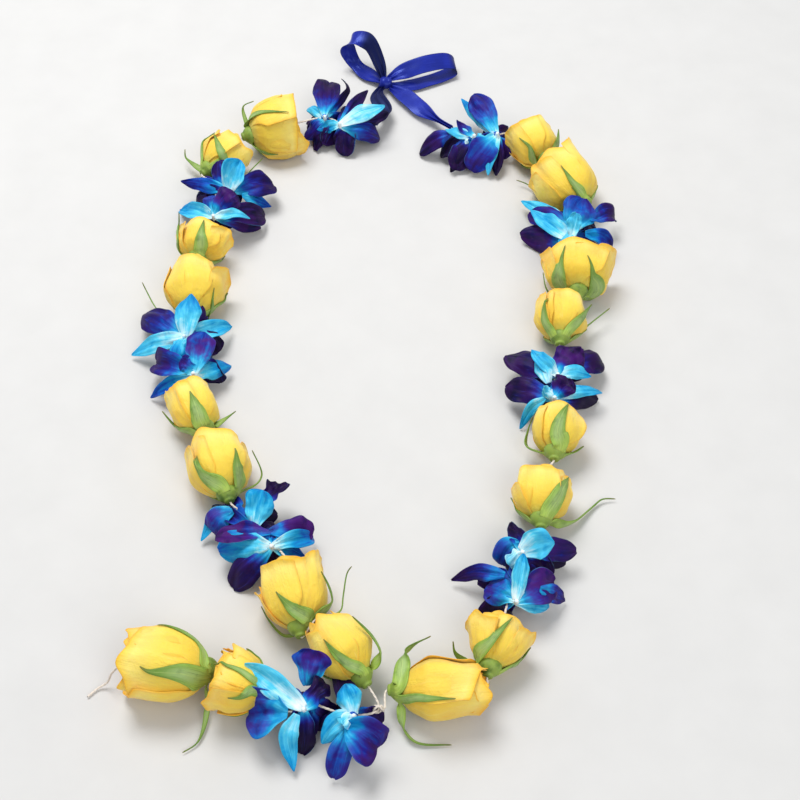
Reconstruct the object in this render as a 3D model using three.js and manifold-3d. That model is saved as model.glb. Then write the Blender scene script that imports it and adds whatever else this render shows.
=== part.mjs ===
// Fresh flower lei: rose buds and dyed orchid blossoms threaded on string, closed by a satin bow.
//
// Units are millimetres. +Z is up from the surface that the lei lies on, +Y runs from the pendant
// to the bow, and the origin is the middle of the lei's outline on that surface.
// Every flower is built on its own axis: local +Z runs from its back to its open end, and local +Y
// is up. It is then laid down on the string between the places where the string enters and leaves it.

import * as THREE from 'three';
import { mergeVertices } from 'three/addons/utils/BufferGeometryUtils.js';
import Module from 'manifold-3d';

const wasm = await Module();
wasm.setup();

// ---------------------------------------------------------------- driving dimensions

const CLEARANCE = 0.3;            // gap that touching pieces keep
const THREAD_RADIUS = 0.6;
const THREAD_SIDES = 8;
const THREAD_STEP = 13;           // length of one straight stretch of string
const NEEDLE_RADIUS = 1.4;        // radius of the hole that the needle leaves in a flower
const NEEDLE_SIDES = 5;
const KNOT_RING_RADIUS = 2.1;     // the right string's turn round the left one
const KNOT_CORD_RADIUS = 0.8;
const KNOT_REACH = 3.2;           // from the left string to the end of the right one

const RECEPTACLE_LENGTH = 7.5;    // green base of a rose, from the cut stub to the first petals
const RECEPTACLE_RADIUS = 5.6;
const RECEPTACLE_WAIST = 4.5;     // where the receptacle reaches its full radius
const RECEPTACLE_SIDES = 6;
const STUB_RADIUS = 2.4;
const STUB_LENGTH = 2;
const SEPAL_COUNT = 5;
const SEPAL_HALF_WIDTH = 4.2;
const SEPAL_HALF_THICKNESS = 0.6;
const SEPAL_STAND_OFF = 1.7;      // from the petals to the middle of a sepal
const SEPAL_ROOT_DEPTH = 1.6;     // how deep a sepal is rooted in the receptacle
const SEPAL_STOPS = [0.15, 0.4, 0.8];      // where a sepal touches down along the petals
const SEPAL_TAPER = 0.6;          // below 1 the widest place is nearer to the root
const BLOOM_SIDES = 10;
// Outline of a closed rose bud as [distance along the petals, radius], both as parts of the whole.
const BUD_OUTLINE = [[0, 0.3], [0.16, 0.76], [0.42, 1], [0.76, 0.92], [1, 0.46]];

const OVARY_RADIUS = 2.8;
const OVARY_BACK = -4;            // where an orchid's ovary ends behind its petals
const OVARY_FRONT = 5;
const OVARY_SIDES = 6;
// The six parts of a blossom: clock angles from the +X side, reach, half width and how far in front
// of the ovary they bend outwards.
const ORCHID_SEPALS = { angles: [90, 215, 325], reach: 32, halfWidth: 4.8, forward: 9 };
const ORCHID_PETALS = { angles: [22, 158], reach: 31, halfWidth: 8.5, forward: 9 };
const ORCHID_LIP = { angles: [270], reach: 13, halfWidth: 5.5, forward: 11.7 };
const TEPAL_HALF_THICKNESS = 0.7;
const TEPAL_ROOT = 1.5;           // from the ovary's axis to a tepal's root
const TEPAL_BEND = [[0.7, 0.35], [1, 0.7], [1, 1]];   // parts of the forward and outward reach
const TEPAL_TAPER = 0.8;
const BLADE_SIDES = 4;            // corners and steps of a leaf-shaped blade
const BLADE_STEPS = 4;

const RIBBON_WIDTH = 13;
const RIBBON_THICKNESS = 0.6;
const RIBBON_STEPS = 2;           // straight stretches between two places on a run
const RIBBON_KNOT_RADIUS = [5.5, 4.5, 4];
const GROUND_SIDE = 1000;         // the surface that the flowers press flat on
const GROUND_DEPTH = 100;

// Flowers of each strand, from its open end to the pendant knot. A rose's tip and base are the ends
// of its axis, where the string leaves and enters. An orchid's seat is the middle of its ovary.
const LEFT_STRAND = [
  { kind: 'orchid', seat: [-29, 193, 17], roll: 20 },
  { kind: 'orchid', seat: [-44, 200, 17], roll: -30 },
  { kind: 'rose', tip: [-55, 200, 18], base: [-97, 185, 17], radius: 19, roll: 8 },
  { kind: 'rose', tip: [-99, 179, 17], base: [-126, 147, 16], radius: 17, roll: -8 },
  { kind: 'orchid', seat: [-116, 131, 17], roll: 0 },
  { kind: 'orchid', seat: [-116, 110, 17], roll: 36 },
  { kind: 'rose', tip: [-114, 100, 17], base: [-120, 62, 17], radius: 17, roll: 0 },
  { kind: 'rose', tip: [-118, 58, 18], base: [-116, 12, 17], radius: 19, roll: -10 },
  { kind: 'orchid', seat: [-117, -4, 17], roll: 35, spread: 1.2 },
  { kind: 'orchid', seat: [-115, -26, 17], roll: -20 },
  { kind: 'rose', tip: [-118, -36, 17], base: [-108, -77, 17], radius: 17.5, roll: 0 },
  { kind: 'rose', tip: [-101, -80, 18], base: [-86, -124, 17], radius: 18.5, roll: 10 },
  { kind: 'orchid', seat: [-78, -137, 17], roll: 10 },
  { kind: 'orchid', seat: [-65, -152, 17], roll: 40 },
  { kind: 'rose', tip: [-50, -163, 18], base: [-42, -206, 16], radius: 18, roll: 10 },
  { kind: 'rose', tip: [-32, -206, 21], base: [-7, -239, 14], radius: 18, roll: -6 },
];

const RIGHT_STRAND = [
  { kind: 'orchid', seat: [56, 176, 17], roll: 0 },
  { kind: 'orchid', seat: [77, 181, 17], roll: 30 },
  { kind: 'rose', tip: [86, 193, 17], base: [107, 159, 17], radius: 17, roll: 0 },
  { kind: 'rose', tip: [111, 153, 18], base: [135, 110, 17], radius: 19, roll: 8 },
  { kind: 'orchid', seat: [127, 96, 17], roll: 36 },
  { kind: 'orchid', seat: [125, 83, 17], roll: 0 },
  { kind: 'rose', tip: [126, 74, 18], base: [122, 33, 17], radius: 19.5, roll: 10 },
  { kind: 'rose', tip: [113, 30, 17], base: [109, -12, 17], radius: 17.5, roll: 0 },
  { kind: 'orchid', seat: [105, -29, 17], roll: 0 },
  { kind: 'orchid', seat: [103, -47, 17], roll: 36 },
  { kind: 'rose', tip: [102, -57, 17], base: [96, -98, 17], radius: 18, roll: 0 },
  { kind: 'rose', tip: [93, -102, 17], base: [90, -144, 17], radius: 17, roll: -8 },
  { kind: 'orchid', seat: [81, -161, 17], roll: -10 },
  { kind: 'orchid', seat: [71, -183, 17], roll: 26 },
  { kind: 'rose', tip: [77, -197, 17], base: [53, -231, 17], radius: 18, roll: 0 },
  { kind: 'rose', tip: [53, -247, 18], base: [5, -245, 14], radius: 18.5, roll: 6 },
];

const PENDANT = [
  { kind: 'rose', tip: [-133, -230, 19], base: [-86, -233, 18], radius: 19.5, roll: 0 },
  { kind: 'rose', tip: [-83, -239, 18], base: [-49, -246, 17], radius: 17, roll: 8 },
  { kind: 'orchid', seat: [-36, -251, 17], roll: -20 },
  { kind: 'orchid', seat: [-15, -258, 17], roll: 24 },
];

const PENDANT_KNOT = [-1, -253, 13];
const LEFT_TIE = [-7.2, 202.5, 9];         // where each string is tied to the ribbon
const RIGHT_TIE = [48.2, 197.5, 9];
const LOOSE_END = [[-139, -232, 12], [-143, -234, 4], [-148, -236, 1.2], [-153, -241, 1.0]];

// Ribbon runs: places on the ribbon's middle line, the direction of its width there, and how much
// of its width is left where it is gathered into the knot.
const RIBBON_KNOT = [-1, 253, 6];
const LEFT_LEG = [
  { at: [-7, 203, 9], across: [0.6, 0.5, 0.6], gathered: 0.4 },
  { at: [1, 217, 8], across: [0.9, -0.1, 0.5], gathered: 0.8 },
  { at: [-5, 231, 7], across: [0.9, 0.2, 0.4], gathered: 0.9 },
  { at: [-3, 250, 4], across: [0.9, -0.1, 0.2], gathered: 0.3 },
];
const RIGHT_LEG = [
  { at: [48, 198, 9], across: [0.3, 0.7, 0.6], gathered: 0.3 },
  { at: [38, 211, 8], across: [0.5, 0.6, 0.6], gathered: 0.4 },
  { at: [25, 223, 6], across: [0.7, 0.6, 0.3], gathered: 0.9 },
  { at: [12, 240, 6], across: [0.75, 0.6, 0.2], gathered: 1 },
  { at: [2, 250, 4], across: [0.8, 0.5, 0.2], gathered: 0.3 },
];
const LEFT_LOOP = [
  { at: [-4, 254, 5], across: [0.5, 0.8, 0.1], gathered: 0.3 },
  { at: [-10, 262, 6], across: [0.6, 0.75, 0.2], gathered: 0.7 },
  { at: [-19, 270, 7], across: [0.7, 0.7, 0.2], gathered: 1 },
  { at: [-26, 276, 12], across: [0.95, 0.3, 0.1], gathered: 1 },
  { at: [-27, 282, 20], across: [1, 0.1, 0.1], gathered: 1 },
  { at: [-23, 285, 26], across: [1, 0.1, 0.1], gathered: 1 },
  { at: [-17, 282, 27], across: [0.95, 0.3, 0.2], gathered: 1 },
  { at: [-10, 271, 20], across: [0.9, 0.35, 0.2], gathered: 1 },
  { at: [-3, 256, 8], across: [0.9, 0.3, 0.2], gathered: 0.3 },
];
const RIGHT_LOOP = [
  { at: [2, 254, 8], across: [0.1, 0.9, 0.4], gathered: 0.3 },
  { at: [13, 257, 10], across: [-0.2, 0.9, 0.4], gathered: 0.8 },
  { at: [38, 263, 14], across: [-0.3, 0.9, 0.3], gathered: 1 },
  { at: [51, 269, 12], across: [-0.3, 0.95, 0.2], gathered: 1 },
  { at: [51, 268, 5], across: [-0.3, 0.9, 0.1], gathered: 1 },
  { at: [36, 259, 2.5], across: [-0.4, 0.9, 0.05], gathered: 1 },
  { at: [18, 250, 3], across: [-0.3, 0.9, 0.1], gathered: 0.8 },
  { at: [3, 252, 5], across: [0.1, 0.9, 0.2], gathered: 0.3 },
];

// ---------------------------------------------------------------- materials

const petalYellow = new THREE.MeshStandardMaterial({ color: 0xf3cf4c, roughness: 0.6, metalness: 0 });
const calyxGreen = new THREE.MeshStandardMaterial({ color: 0x7da046, roughness: 0.6, metalness: 0 });
const orchidBlue = new THREE.MeshStandardMaterial({ color: 0x3450b8, roughness: 0.5, metalness: 0 });
const stringWhite = new THREE.MeshStandardMaterial({ color: 0xece7dc, roughness: 0.8, metalness: 0 });
const satinNavy = new THREE.MeshStandardMaterial({ color: 0x1b1f80, roughness: 0.35, metalness: 0 });

// ---------------------------------------------------------------- solids

const MERGE_DISTANCE = 1e-4;      // corners nearer than this are one corner

/** Turns a closed geometry into a solid that can be joined and cut. */
function toSolid(geometry) {
  const bare = geometry.clone();
  bare.deleteAttribute('normal');
  bare.deleteAttribute('uv');
  const merged = mergeVertices(bare, MERGE_DISTANCE);
  const triVerts = Uint32Array.from(merged.index.array);
  const vertProperties = Float32Array.from(merged.attributes.position.array);
  return new wasm.Manifold(new wasm.Mesh({ numProp: 3, vertProperties, triVerts }));
}

/** Turns a solid back into a geometry with flat faces. */
function toGeometry(solid) {
  const mesh = solid.getMesh();
  const geometry = new THREE.BufferGeometry();
  geometry.setAttribute('position', new THREE.BufferAttribute(Float32Array.from(mesh.vertProperties), 3));
  geometry.setIndex(new THREE.BufferAttribute(Uint32Array.from(mesh.triVerts), 1));
  geometry.computeVertexNormals();
  return geometry;
}

/** The largest separate piece of a solid, so that a cut leaves no loose crumb. */
function largestPiece(solid) {
  return solid.decompose().reduce((best, piece) => (piece.volume() > best.volume() ? piece : best));
}

function join(geometries) {
  return geometries.map(toSolid).reduce((whole, piece) => whole.add(piece));
}

const vector = (point) => new THREE.Vector3(...point);
const radians = THREE.MathUtils.degToRad;

/** A closed leaf-shaped blade along a curve, with a diamond section. */
function blade(curve, side, halfWidthAt, halfThickness) {
  const geometry = new THREE.SphereGeometry(1, BLADE_SIDES, BLADE_STEPS);
  const position = geometry.attributes.position;
  for (let i = 0; i < position.count; i += 1) {
    const along = Math.acos(THREE.MathUtils.clamp(position.getY(i), -1, 1)) / Math.PI;
    const tangent = curve.getTangent(along);
    const across = side.clone().addScaledVector(tangent, -side.dot(tangent)).normalize();
    const outward = new THREE.Vector3().crossVectors(tangent, across);
    const ring = Math.hypot(position.getX(i), position.getZ(i));
    const place = curve.getPoint(along);
    if (ring > MERGE_DISTANCE) {
      place.addScaledVector(across, (position.getX(i) / ring) * halfWidthAt(along));
      place.addScaledVector(outward, (position.getZ(i) / ring) * halfThickness);
    }
    position.setXYZ(i, place.x, place.y, place.z);
  }
  return geometry;
}

/** A flat strip along a curve whose width direction turns on the way. */
function strip(run, width, thickness) {
  const steps = (run.length - 1) * RIBBON_STEPS;
  const middle = new THREE.CatmullRomCurve3(run.map((stop) => vector(stop.at)));
  const directions = new THREE.CatmullRomCurve3(run.map((stop) => vector(stop.across)));
  const gathers = new THREE.SplineCurve(run.map((stop, k) => new THREE.Vector2(k, stop.gathered)));
  const geometry = new THREE.BoxGeometry(width, thickness, 1, 1, 1, steps);
  const position = geometry.attributes.position;
  for (let i = 0; i < position.count; i += 1) {
    const along = position.getZ(i) + 0.5;
    const tangent = middle.getTangent(along);
    const across = directions.getPoint(along);
    across.addScaledVector(tangent, -across.dot(tangent)).normalize();
    const outward = new THREE.Vector3().crossVectors(tangent, across);
    const place = middle.getPoint(along);
    place.addScaledVector(across, position.getX(i) * gathers.getPoint(along).y);
    place.addScaledVector(outward, position.getY(i));
    position.setXYZ(i, place.x, place.y, place.z);
  }
  return geometry;
}

/** A round cord along a route, as an extruded polygon. */
function cord(route, radius, sides) {
  const curve = new THREE.CatmullRomCurve3(route.map(vector), false, 'centripetal');
  const corners = Array.from({ length: sides }, (_, k) => {
    const angle = (2 * Math.PI * k) / sides;
    return new THREE.Vector2(radius * Math.cos(angle), radius * Math.sin(angle));
  });
  const steps = Math.round(curve.getLength() / THREAD_STEP);
  return new THREE.ExtrudeGeometry(new THREE.Shape(corners), { steps, extrudePath: curve });
}

// ---------------------------------------------------------------- string

const routeOf = (strand) => strand.flatMap((f) => (f.kind === 'rose' ? [f.tip, f.base] : [f.seat]));

const leftRoute = [
  LEFT_TIE,
  ...routeOf(LEFT_STRAND),
  PENDANT_KNOT,
  ...routeOf(PENDANT).reverse(),
  ...LOOSE_END,
];
const [knotX, knotY, knotZ] = PENDANT_KNOT;
const rightRoute = [RIGHT_TIE, ...routeOf(RIGHT_STRAND), [knotX + KNOT_REACH, knotY, knotZ]];

const needleHoles = [leftRoute, rightRoute].map((route) => cord(route, NEEDLE_RADIUS, NEEDLE_SIDES));

// The right string ends in a turn that is tied round the left one.
const knotRing = new THREE.TorusGeometry(KNOT_RING_RADIUS, KNOT_CORD_RADIUS, 6, 10);
knotRing.rotateX(Math.PI / 2);
knotRing.translate(...PENDANT_KNOT);
const leftString = toSolid(cord(leftRoute, THREAD_RADIUS, THREAD_SIDES));
const rightString = largestPiece(
  join([cord(rightRoute, THREAD_RADIUS, THREAD_SIDES), knotRing])
    .subtract(toSolid(cord(leftRoute, THREAD_RADIUS + CLEARANCE, THREAD_SIDES))),
);

// ---------------------------------------------------------------- flowers on their own axis

const budCurve = new THREE.SplineCurve(BUD_OUTLINE.map((p) => new THREE.Vector2(...p)));

/** The petals: a closed bud that starts on the receptacle and ends where the string leaves it. */
function bloomGeometries(rose, length, grow) {
  const start = RECEPTACLE_LENGTH + CLEARANCE;
  const outline = BUD_OUTLINE.map(([z, r]) => {
    return new THREE.Vector2(r * rose.radius + grow, start + z * (length - start));
  });
  const first = new THREE.Vector2(0, start - grow);
  const last = new THREE.Vector2(0, length + grow);
  const geometry = new THREE.LatheGeometry([first, ...outline, last], BLOOM_SIDES, Math.PI / BLOOM_SIDES);
  return [geometry.rotateX(Math.PI / 2)];
}

/** The calyx: the cut stub, the swollen receptacle and five sepals that lie along the petals. */
function calyxGeometries(rose, length, grow) {
  const profile = [
    [0, -grow],
    [STUB_RADIUS + grow, -grow],
    [STUB_RADIUS + grow, STUB_LENGTH],
    [RECEPTACLE_RADIUS + grow, RECEPTACLE_WAIST],
    [RECEPTACLE_RADIUS + grow, RECEPTACLE_LENGTH],
    [0, RECEPTACLE_LENGTH],
  ];
  const points = profile.map((p) => new THREE.Vector2(...p));
  const receptacle = new THREE.LatheGeometry(points, RECEPTACLE_SIDES);
  receptacle.rotateX(Math.PI / 2);

  const start = RECEPTACLE_LENGTH + CLEARANCE;
  const sepals = Array.from({ length: SEPAL_COUNT }, (_, k) => {
    const angle = radians(90 + rose.roll + (k * 360) / SEPAL_COUNT);
    const radial = new THREE.Vector3(Math.cos(angle), Math.sin(angle), 0);
    const side = new THREE.Vector3(-Math.sin(angle), Math.cos(angle), 0);
    const stops = [
      [RECEPTACLE_WAIST, RECEPTACLE_RADIUS - SEPAL_ROOT_DEPTH],
      [RECEPTACLE_LENGTH - SEPAL_HALF_THICKNESS, RECEPTACLE_RADIUS + SEPAL_HALF_THICKNESS],
    ];
    for (const part of SEPAL_STOPS) {
      const [z, r] = budCurve.getPoint(part).toArray();
      stops.push([start + z * (length - start), r * rose.radius + SEPAL_STAND_OFF]);
    }
    const curve = new THREE.CatmullRomCurve3(
      stops.map(([z, r]) => radial.clone().multiplyScalar(r).setZ(z)),
    );
    const halfWidth = (s) => SEPAL_HALF_WIDTH * Math.sin(Math.PI * s ** SEPAL_TAPER) + grow;
    return blade(curve, side, halfWidth, SEPAL_HALF_THICKNESS + grow);
  });
  return [receptacle, ...sepals];
}

/** An orchid blossom: ovary, three sepals, two broad petals and the lip, bent open from the front. */
function orchidGeometries(orchid, grow) {
  const profile = [
    [0, OVARY_BACK - grow],
    [OVARY_RADIUS + grow, OVARY_BACK - grow],
    [OVARY_RADIUS + grow, OVARY_FRONT + grow],
    [0, OVARY_FRONT + grow],
  ];
  const points = profile.map((p) => new THREE.Vector2(...p));
  const ovary = new THREE.LatheGeometry(points, OVARY_SIDES);
  ovary.rotateX(Math.PI / 2);

  const spread = orchid.spread ?? 1;
  const tepals = [ORCHID_SEPALS, ORCHID_PETALS, ORCHID_LIP].flatMap((shape) => shape.angles.map((degrees) => {
    const angle = radians(degrees + orchid.roll);
    const radial = new THREE.Vector3(Math.cos(angle), Math.sin(angle), 0);
    const side = new THREE.Vector3(-Math.sin(angle), Math.cos(angle), 0);
    const stops = TEPAL_BEND.map(([forward, outward]) => {
      return radial.clone().multiplyScalar(outward * shape.reach * spread).setZ(forward * shape.forward);
    });
    const curve = new THREE.CatmullRomCurve3([radial.clone().multiplyScalar(TEPAL_ROOT), ...stops]);
    const halfWidth = (s) => shape.halfWidth * Math.sin(Math.PI * s ** TEPAL_TAPER) + grow;
    return blade(curve, side, halfWidth, TEPAL_HALF_THICKNESS + grow);
  }));
  return [ovary, ...tepals];
}

// ---------------------------------------------------------------- laying the flowers on the string

const ground = new THREE.BoxGeometry(GROUND_SIDE, GROUND_SIDE, GROUND_DEPTH);
ground.translate(0, 0, -GROUND_DEPTH / 2);

/** Where a flower lies: its back on the string, facing along it, with its top side up. */
function layOnString(group, back, front) {
  const facing = vector(front).sub(vector(back)).normalize();
  const up = new THREE.Vector3(0, 0, 1).addScaledVector(facing, -facing.z).normalize();
  const side = new THREE.Vector3().crossVectors(up, facing);
  group.position.copy(vector(back));
  group.quaternion.setFromRotationMatrix(new THREE.Matrix4().makeBasis(side, up, facing));
  group.updateMatrixWorld(true);
}

/** Lays one strand's flowers, in order from its open end, and lists the pieces they are made of. */
function layStrand(strandName, flowers, knot) {
  const route = routeOf(flowers);
  const counts = { rose: 0, orchid: 0 };
  return flowers.flatMap((flower) => {
    const group = new THREE.Group();
    counts[flower.kind] += 1;
    const name = `${strandName}_${flower.kind}_${counts[flower.kind]}`;
    if (flower.kind === 'rose') {
      layOnString(group, flower.base, flower.tip);
      const length = vector(flower.tip).distanceTo(vector(flower.base)) - CLEARANCE;
      const calyx = (grow) => calyxGeometries(flower, length, grow);
      const petals = (grow) => bloomGeometries(flower, length, grow);
      return [
        { name: `${name}_calyx`, group, rank: 0, shape: calyx, material: calyxGreen },
        { name: `${name}_petals`, group, rank: 1, shape: petals, material: petalYellow },
      ];
    }
    const index = route.indexOf(flower.seat);
    const ahead = vector(route[index - 1] ?? flower.seat);
    const behind = vector(route[index + 1] ?? knot);
    layOnString(group, flower.seat, vector(flower.seat).add(ahead.sub(behind)).toArray());
    const blossom = (grow) => orchidGeometries(flower, grow);
    return [{ name, group, rank: 2, shape: blossom, material: orchidBlue }];
  });
}

/** Cuts a piece by the ground, the needle's holes and every piece before it, with a gap round each. */
function cutByNeighbours(piece, earlier) {
  const inverse = piece.group.matrixWorld.clone().invert();
  const reach = boxInLei(piece, 0);
  const neighbours = earlier
    .filter((other) => boxInLei(other, CLEARANCE).intersectsBox(reach))
    .flatMap((other) => other.shape(CLEARANCE).map((g) => g.applyMatrix4(other.group.matrixWorld)));
  const cutters = [ground, ...needleHoles, ...neighbours];
  const cut = cutters.reduce(
    (rest, cutter) => rest.subtract(toSolid(cutter.clone().applyMatrix4(inverse))),
    join(piece.shape(0)),
  );
  return largestPiece(cut);
}

function boxInLei(piece, grow) {
  const box = new THREE.Box3();
  for (const geometry of piece.shape(grow)) {
    geometry.applyMatrix4(piece.group.matrixWorld).computeBoundingBox();
    box.union(geometry.boundingBox);
  }
  return box;
}

function addMesh(group, name, solid, material) {
  const mesh = new THREE.Mesh(toGeometry(solid), material);
  mesh.name = name;
  group.add(mesh);
}

// ---------------------------------------------------------------- ribbon bow

const ribbonRuns = [LEFT_LEG, RIGHT_LEG, LEFT_LOOP, RIGHT_LOOP];

/** The bow: two legs and two loops of one ribbon, drawn together in the knot. */
function bowGeometries(grow) {
  const knot = new THREE.SphereGeometry(1, 8, 6);
  knot.scale(...RIBBON_KNOT_RADIUS.map((radius) => radius + grow)).translate(...RIBBON_KNOT);
  const runs = ribbonRuns.map((run) => strip(run, RIBBON_WIDTH + 2 * grow, RIBBON_THICKNESS + 2 * grow));
  return [knot, ...runs];
}

// ---------------------------------------------------------------- the lei

const lei = new THREE.Group();
const pieces = [
  { name: 'ribbon_bow', group: new THREE.Group(), rank: 0, shape: bowGeometries, material: satinNavy },
  ...layStrand('left', LEFT_STRAND, PENDANT_KNOT),
  ...layStrand('right', RIGHT_STRAND, PENDANT_KNOT),
  ...layStrand('pendant', PENDANT, PENDANT_KNOT),
];
// The ribbon and the calyces keep their whole shape, petals make room for them, and orchids for all.
pieces.sort((a, b) => a.rank - b.rank);
pieces.forEach((piece, index) => {
  addMesh(piece.group, piece.name, cutByNeighbours(piece, pieces.slice(0, index)), piece.material);
  lei.add(piece.group);
});
addMesh(lei, 'string_left_and_pendant', leftString, stringWhite);
addMesh(lei, 'string_right', rightString, stringWhite);

export default lei;
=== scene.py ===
import math
import random
import bmesh
import bpy
from mathutils import Matrix, Vector, noise
from mathutils.bvhtree import BVHTree


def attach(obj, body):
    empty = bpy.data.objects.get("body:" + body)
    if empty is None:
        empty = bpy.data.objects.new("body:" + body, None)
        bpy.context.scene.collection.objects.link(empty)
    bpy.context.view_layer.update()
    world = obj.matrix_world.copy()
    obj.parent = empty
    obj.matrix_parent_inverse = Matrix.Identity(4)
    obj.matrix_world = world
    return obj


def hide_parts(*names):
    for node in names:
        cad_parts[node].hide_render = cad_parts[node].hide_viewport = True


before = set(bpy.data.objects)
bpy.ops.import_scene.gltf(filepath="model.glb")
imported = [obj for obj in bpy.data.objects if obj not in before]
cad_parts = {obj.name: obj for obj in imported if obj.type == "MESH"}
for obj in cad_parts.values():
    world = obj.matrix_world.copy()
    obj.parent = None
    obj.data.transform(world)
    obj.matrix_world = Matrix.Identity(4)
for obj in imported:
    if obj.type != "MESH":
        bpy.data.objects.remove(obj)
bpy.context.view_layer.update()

# ---------------------------------------------------------------- camera
# The lei lies flat and is looked down on at 52 degrees from its pendant's side, as in the
# photograph, which is a square picture. The orchids' and sepals' places were read off it, as
# pixels from its left side and its top with a height above the floor in millimetres. The rosebuds'
# axes are given in the same way, but were fitted to the buds' edges in it first.

MM = 0.001
PHOTO_MIDDLE = 400        # pixels, half the photograph's side
FOCAL_LENGTH = 1320       # pixels
CAMERA_PLACE = Vector((10, -542, 638))      # millimetres
CAMERA_TILT = math.radians(38)              # from looking straight down

camera_data = bpy.data.cameras.new("camera")
camera_data.lens = camera_data.sensor_width * FOCAL_LENGTH / (2 * PHOTO_MIDDLE)
camera = bpy.data.objects.new("camera", camera_data)
camera.location = CAMERA_PLACE * MM
camera.rotation_euler = (CAMERA_TILT, 0, 0)
bpy.context.collection.objects.link(camera)
bpy.context.scene.camera = camera


def sight(x, y):
    """The direction in which the camera sees a pixel of the photograph."""
    line = Vector((x - PHOTO_MIDDLE, PHOTO_MIDDLE - y, -FOCAL_LENGTH))
    return (Matrix.Rotation(CAMERA_TILT, 3, "X") @ line).normalized()


def seen_at(x, y, height):
    """The place in millimetres that the photograph shows at a pixel, at a height above the floor."""
    line = sight(x, y)
    return CAMERA_PLACE + line * ((height - CAMERA_PLACE.z) / line.z)

# ---------------------------------------------------------------- rose petals
# Eighteen half-open yellow rosebuds, each cut just under its head. Fresh petals, about half a
# millimetre thick, wrap round each other in a spiral of four rounds and roll back at the rim.
# Each head is threaded on the string along its own axis and lies on its side.

# where the fit to the photograph put the tip and the base of each rose's axis, in pixels and the
# height in millimetres, and the rose's radius in millimetres, eight of the axes then moved.
# Then how its petals lie: the turn of the first one, how wide the mouth stays, how far the rims roll
# back in degrees, where the bud is widest and how far up it its outer rim stands
ROSES = {
    "left_rose_1": ((297, 123, 18), (242, 137, 17), 20, 100, 0.9, 30, 0.7, 0.92),
    "left_rose_2": ((240, 145, 17), (202, 174, 16), 15.5, 40, 0.74, 20, 0.42, 0.92),
    "left_rose_3": ((206, 232, 17), (195, 265, 17), 15.5, 70, 0.9, 35, 0.6, 0.92),
    "left_rose_4": ((194, 260, 18), (193, 321, 17), 17.5, 60, 0.5, 15, 0.36, 0.88),
    "left_rose_5": ((184, 389, 17), (208, 436, 17), 13.5, 130, 0.86, 20, 0.5, 0.92),
    "left_rose_6": ((210, 439, 18), (230, 502, 17), 17, 60, 0.76, 20, 0.4, 0.92),
    "left_rose_7": ((289, 564, 18), (301, 637, 16), 16.5, 20, 0.86, 50, 0.6, 0.92),
    "left_rose_8": ((319, 619, 21), (368, 686, 14), 15, 95, 0.52, 15, 0.33, 0.92),
    "right_rose_1": ((526, 132, 17), (550, 164, 17), 16, 15, 0.98, 25, 0.62, 0.92),
    "right_rose_2": ((550, 167, 18), (588, 209, 17), 19.5, 75, 0.92, 30, 0.55, 0.95),
    "right_rose_3": ((578, 257, 18), (578, 298, 17), 20.5, 45, 1, 45, 0.7, 0.88),
    "right_rose_4": ((561, 299, 17), (560, 345, 17), 15.5, 110, 0.74, 15, 0.45, 0.92),
    "right_rose_5": ((559, 409, 17), (554, 460, 17), 15, 85, 0.7, 10, 0.52, 0.86),
    "right_rose_6": ((542, 474, 17), (541, 528, 17), 15, 35, 0.86, 20, 0.5, 0.92),
    "right_rose_7": ((503, 620, 17), (487, 677, 17), 13.5, 120, 0.74, 35, 0.55, 0.94),
    "right_rose_8": ((486, 687, 18), (388, 690, 14), 15.5, 66, 0.6, 45, 0.34, 0.97),
    "pendant_rose_1": ((126, 664, 19), (220, 670, 18), 18, 60, 0.86, 20, 0.5, 0.97),
    "pendant_rose_2": ((214, 679, 18), (277, 692, 17), 14.5, 30, 0.9, 45, 0.55, 0.92),
}

# every petal of a bud: its turn in degrees, its round's radius as part of the bud's, how far its rim
# is from the outer rim to the bud's tip, half the angle that it wraps, how much it closes at the
# mouth, and how deep its yellow is
PETALS = [
    (0, 1.00, 0.00, 84, 0.00, 0.0), (122, 1.01, -0.08, 80, 0.02, 0.0), (243, 0.99, 0.05, 82, 0.00, 0.0),
    (58, 0.92, 0.25, 80, 0.10, 0.12), (180, 0.91, 0.15, 78, 0.12, 0.12), (302, 0.92, 0.3, 80, 0.1, 0.12),
    (25, 0.80, 0.50, 84, 0.26, 0.4), (150, 0.79, 0.45, 84, 0.28, 0.4), (270, 0.80, 0.55, 84, 0.26, 0.4),
    (80, 0.60, 0.70, 110, 0.46, 0.7), (255, 0.52, 0.75, 120, 0.54, 0.8), (160, 0.34, 0.95, 150, 0.6, 0.9),
]
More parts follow.
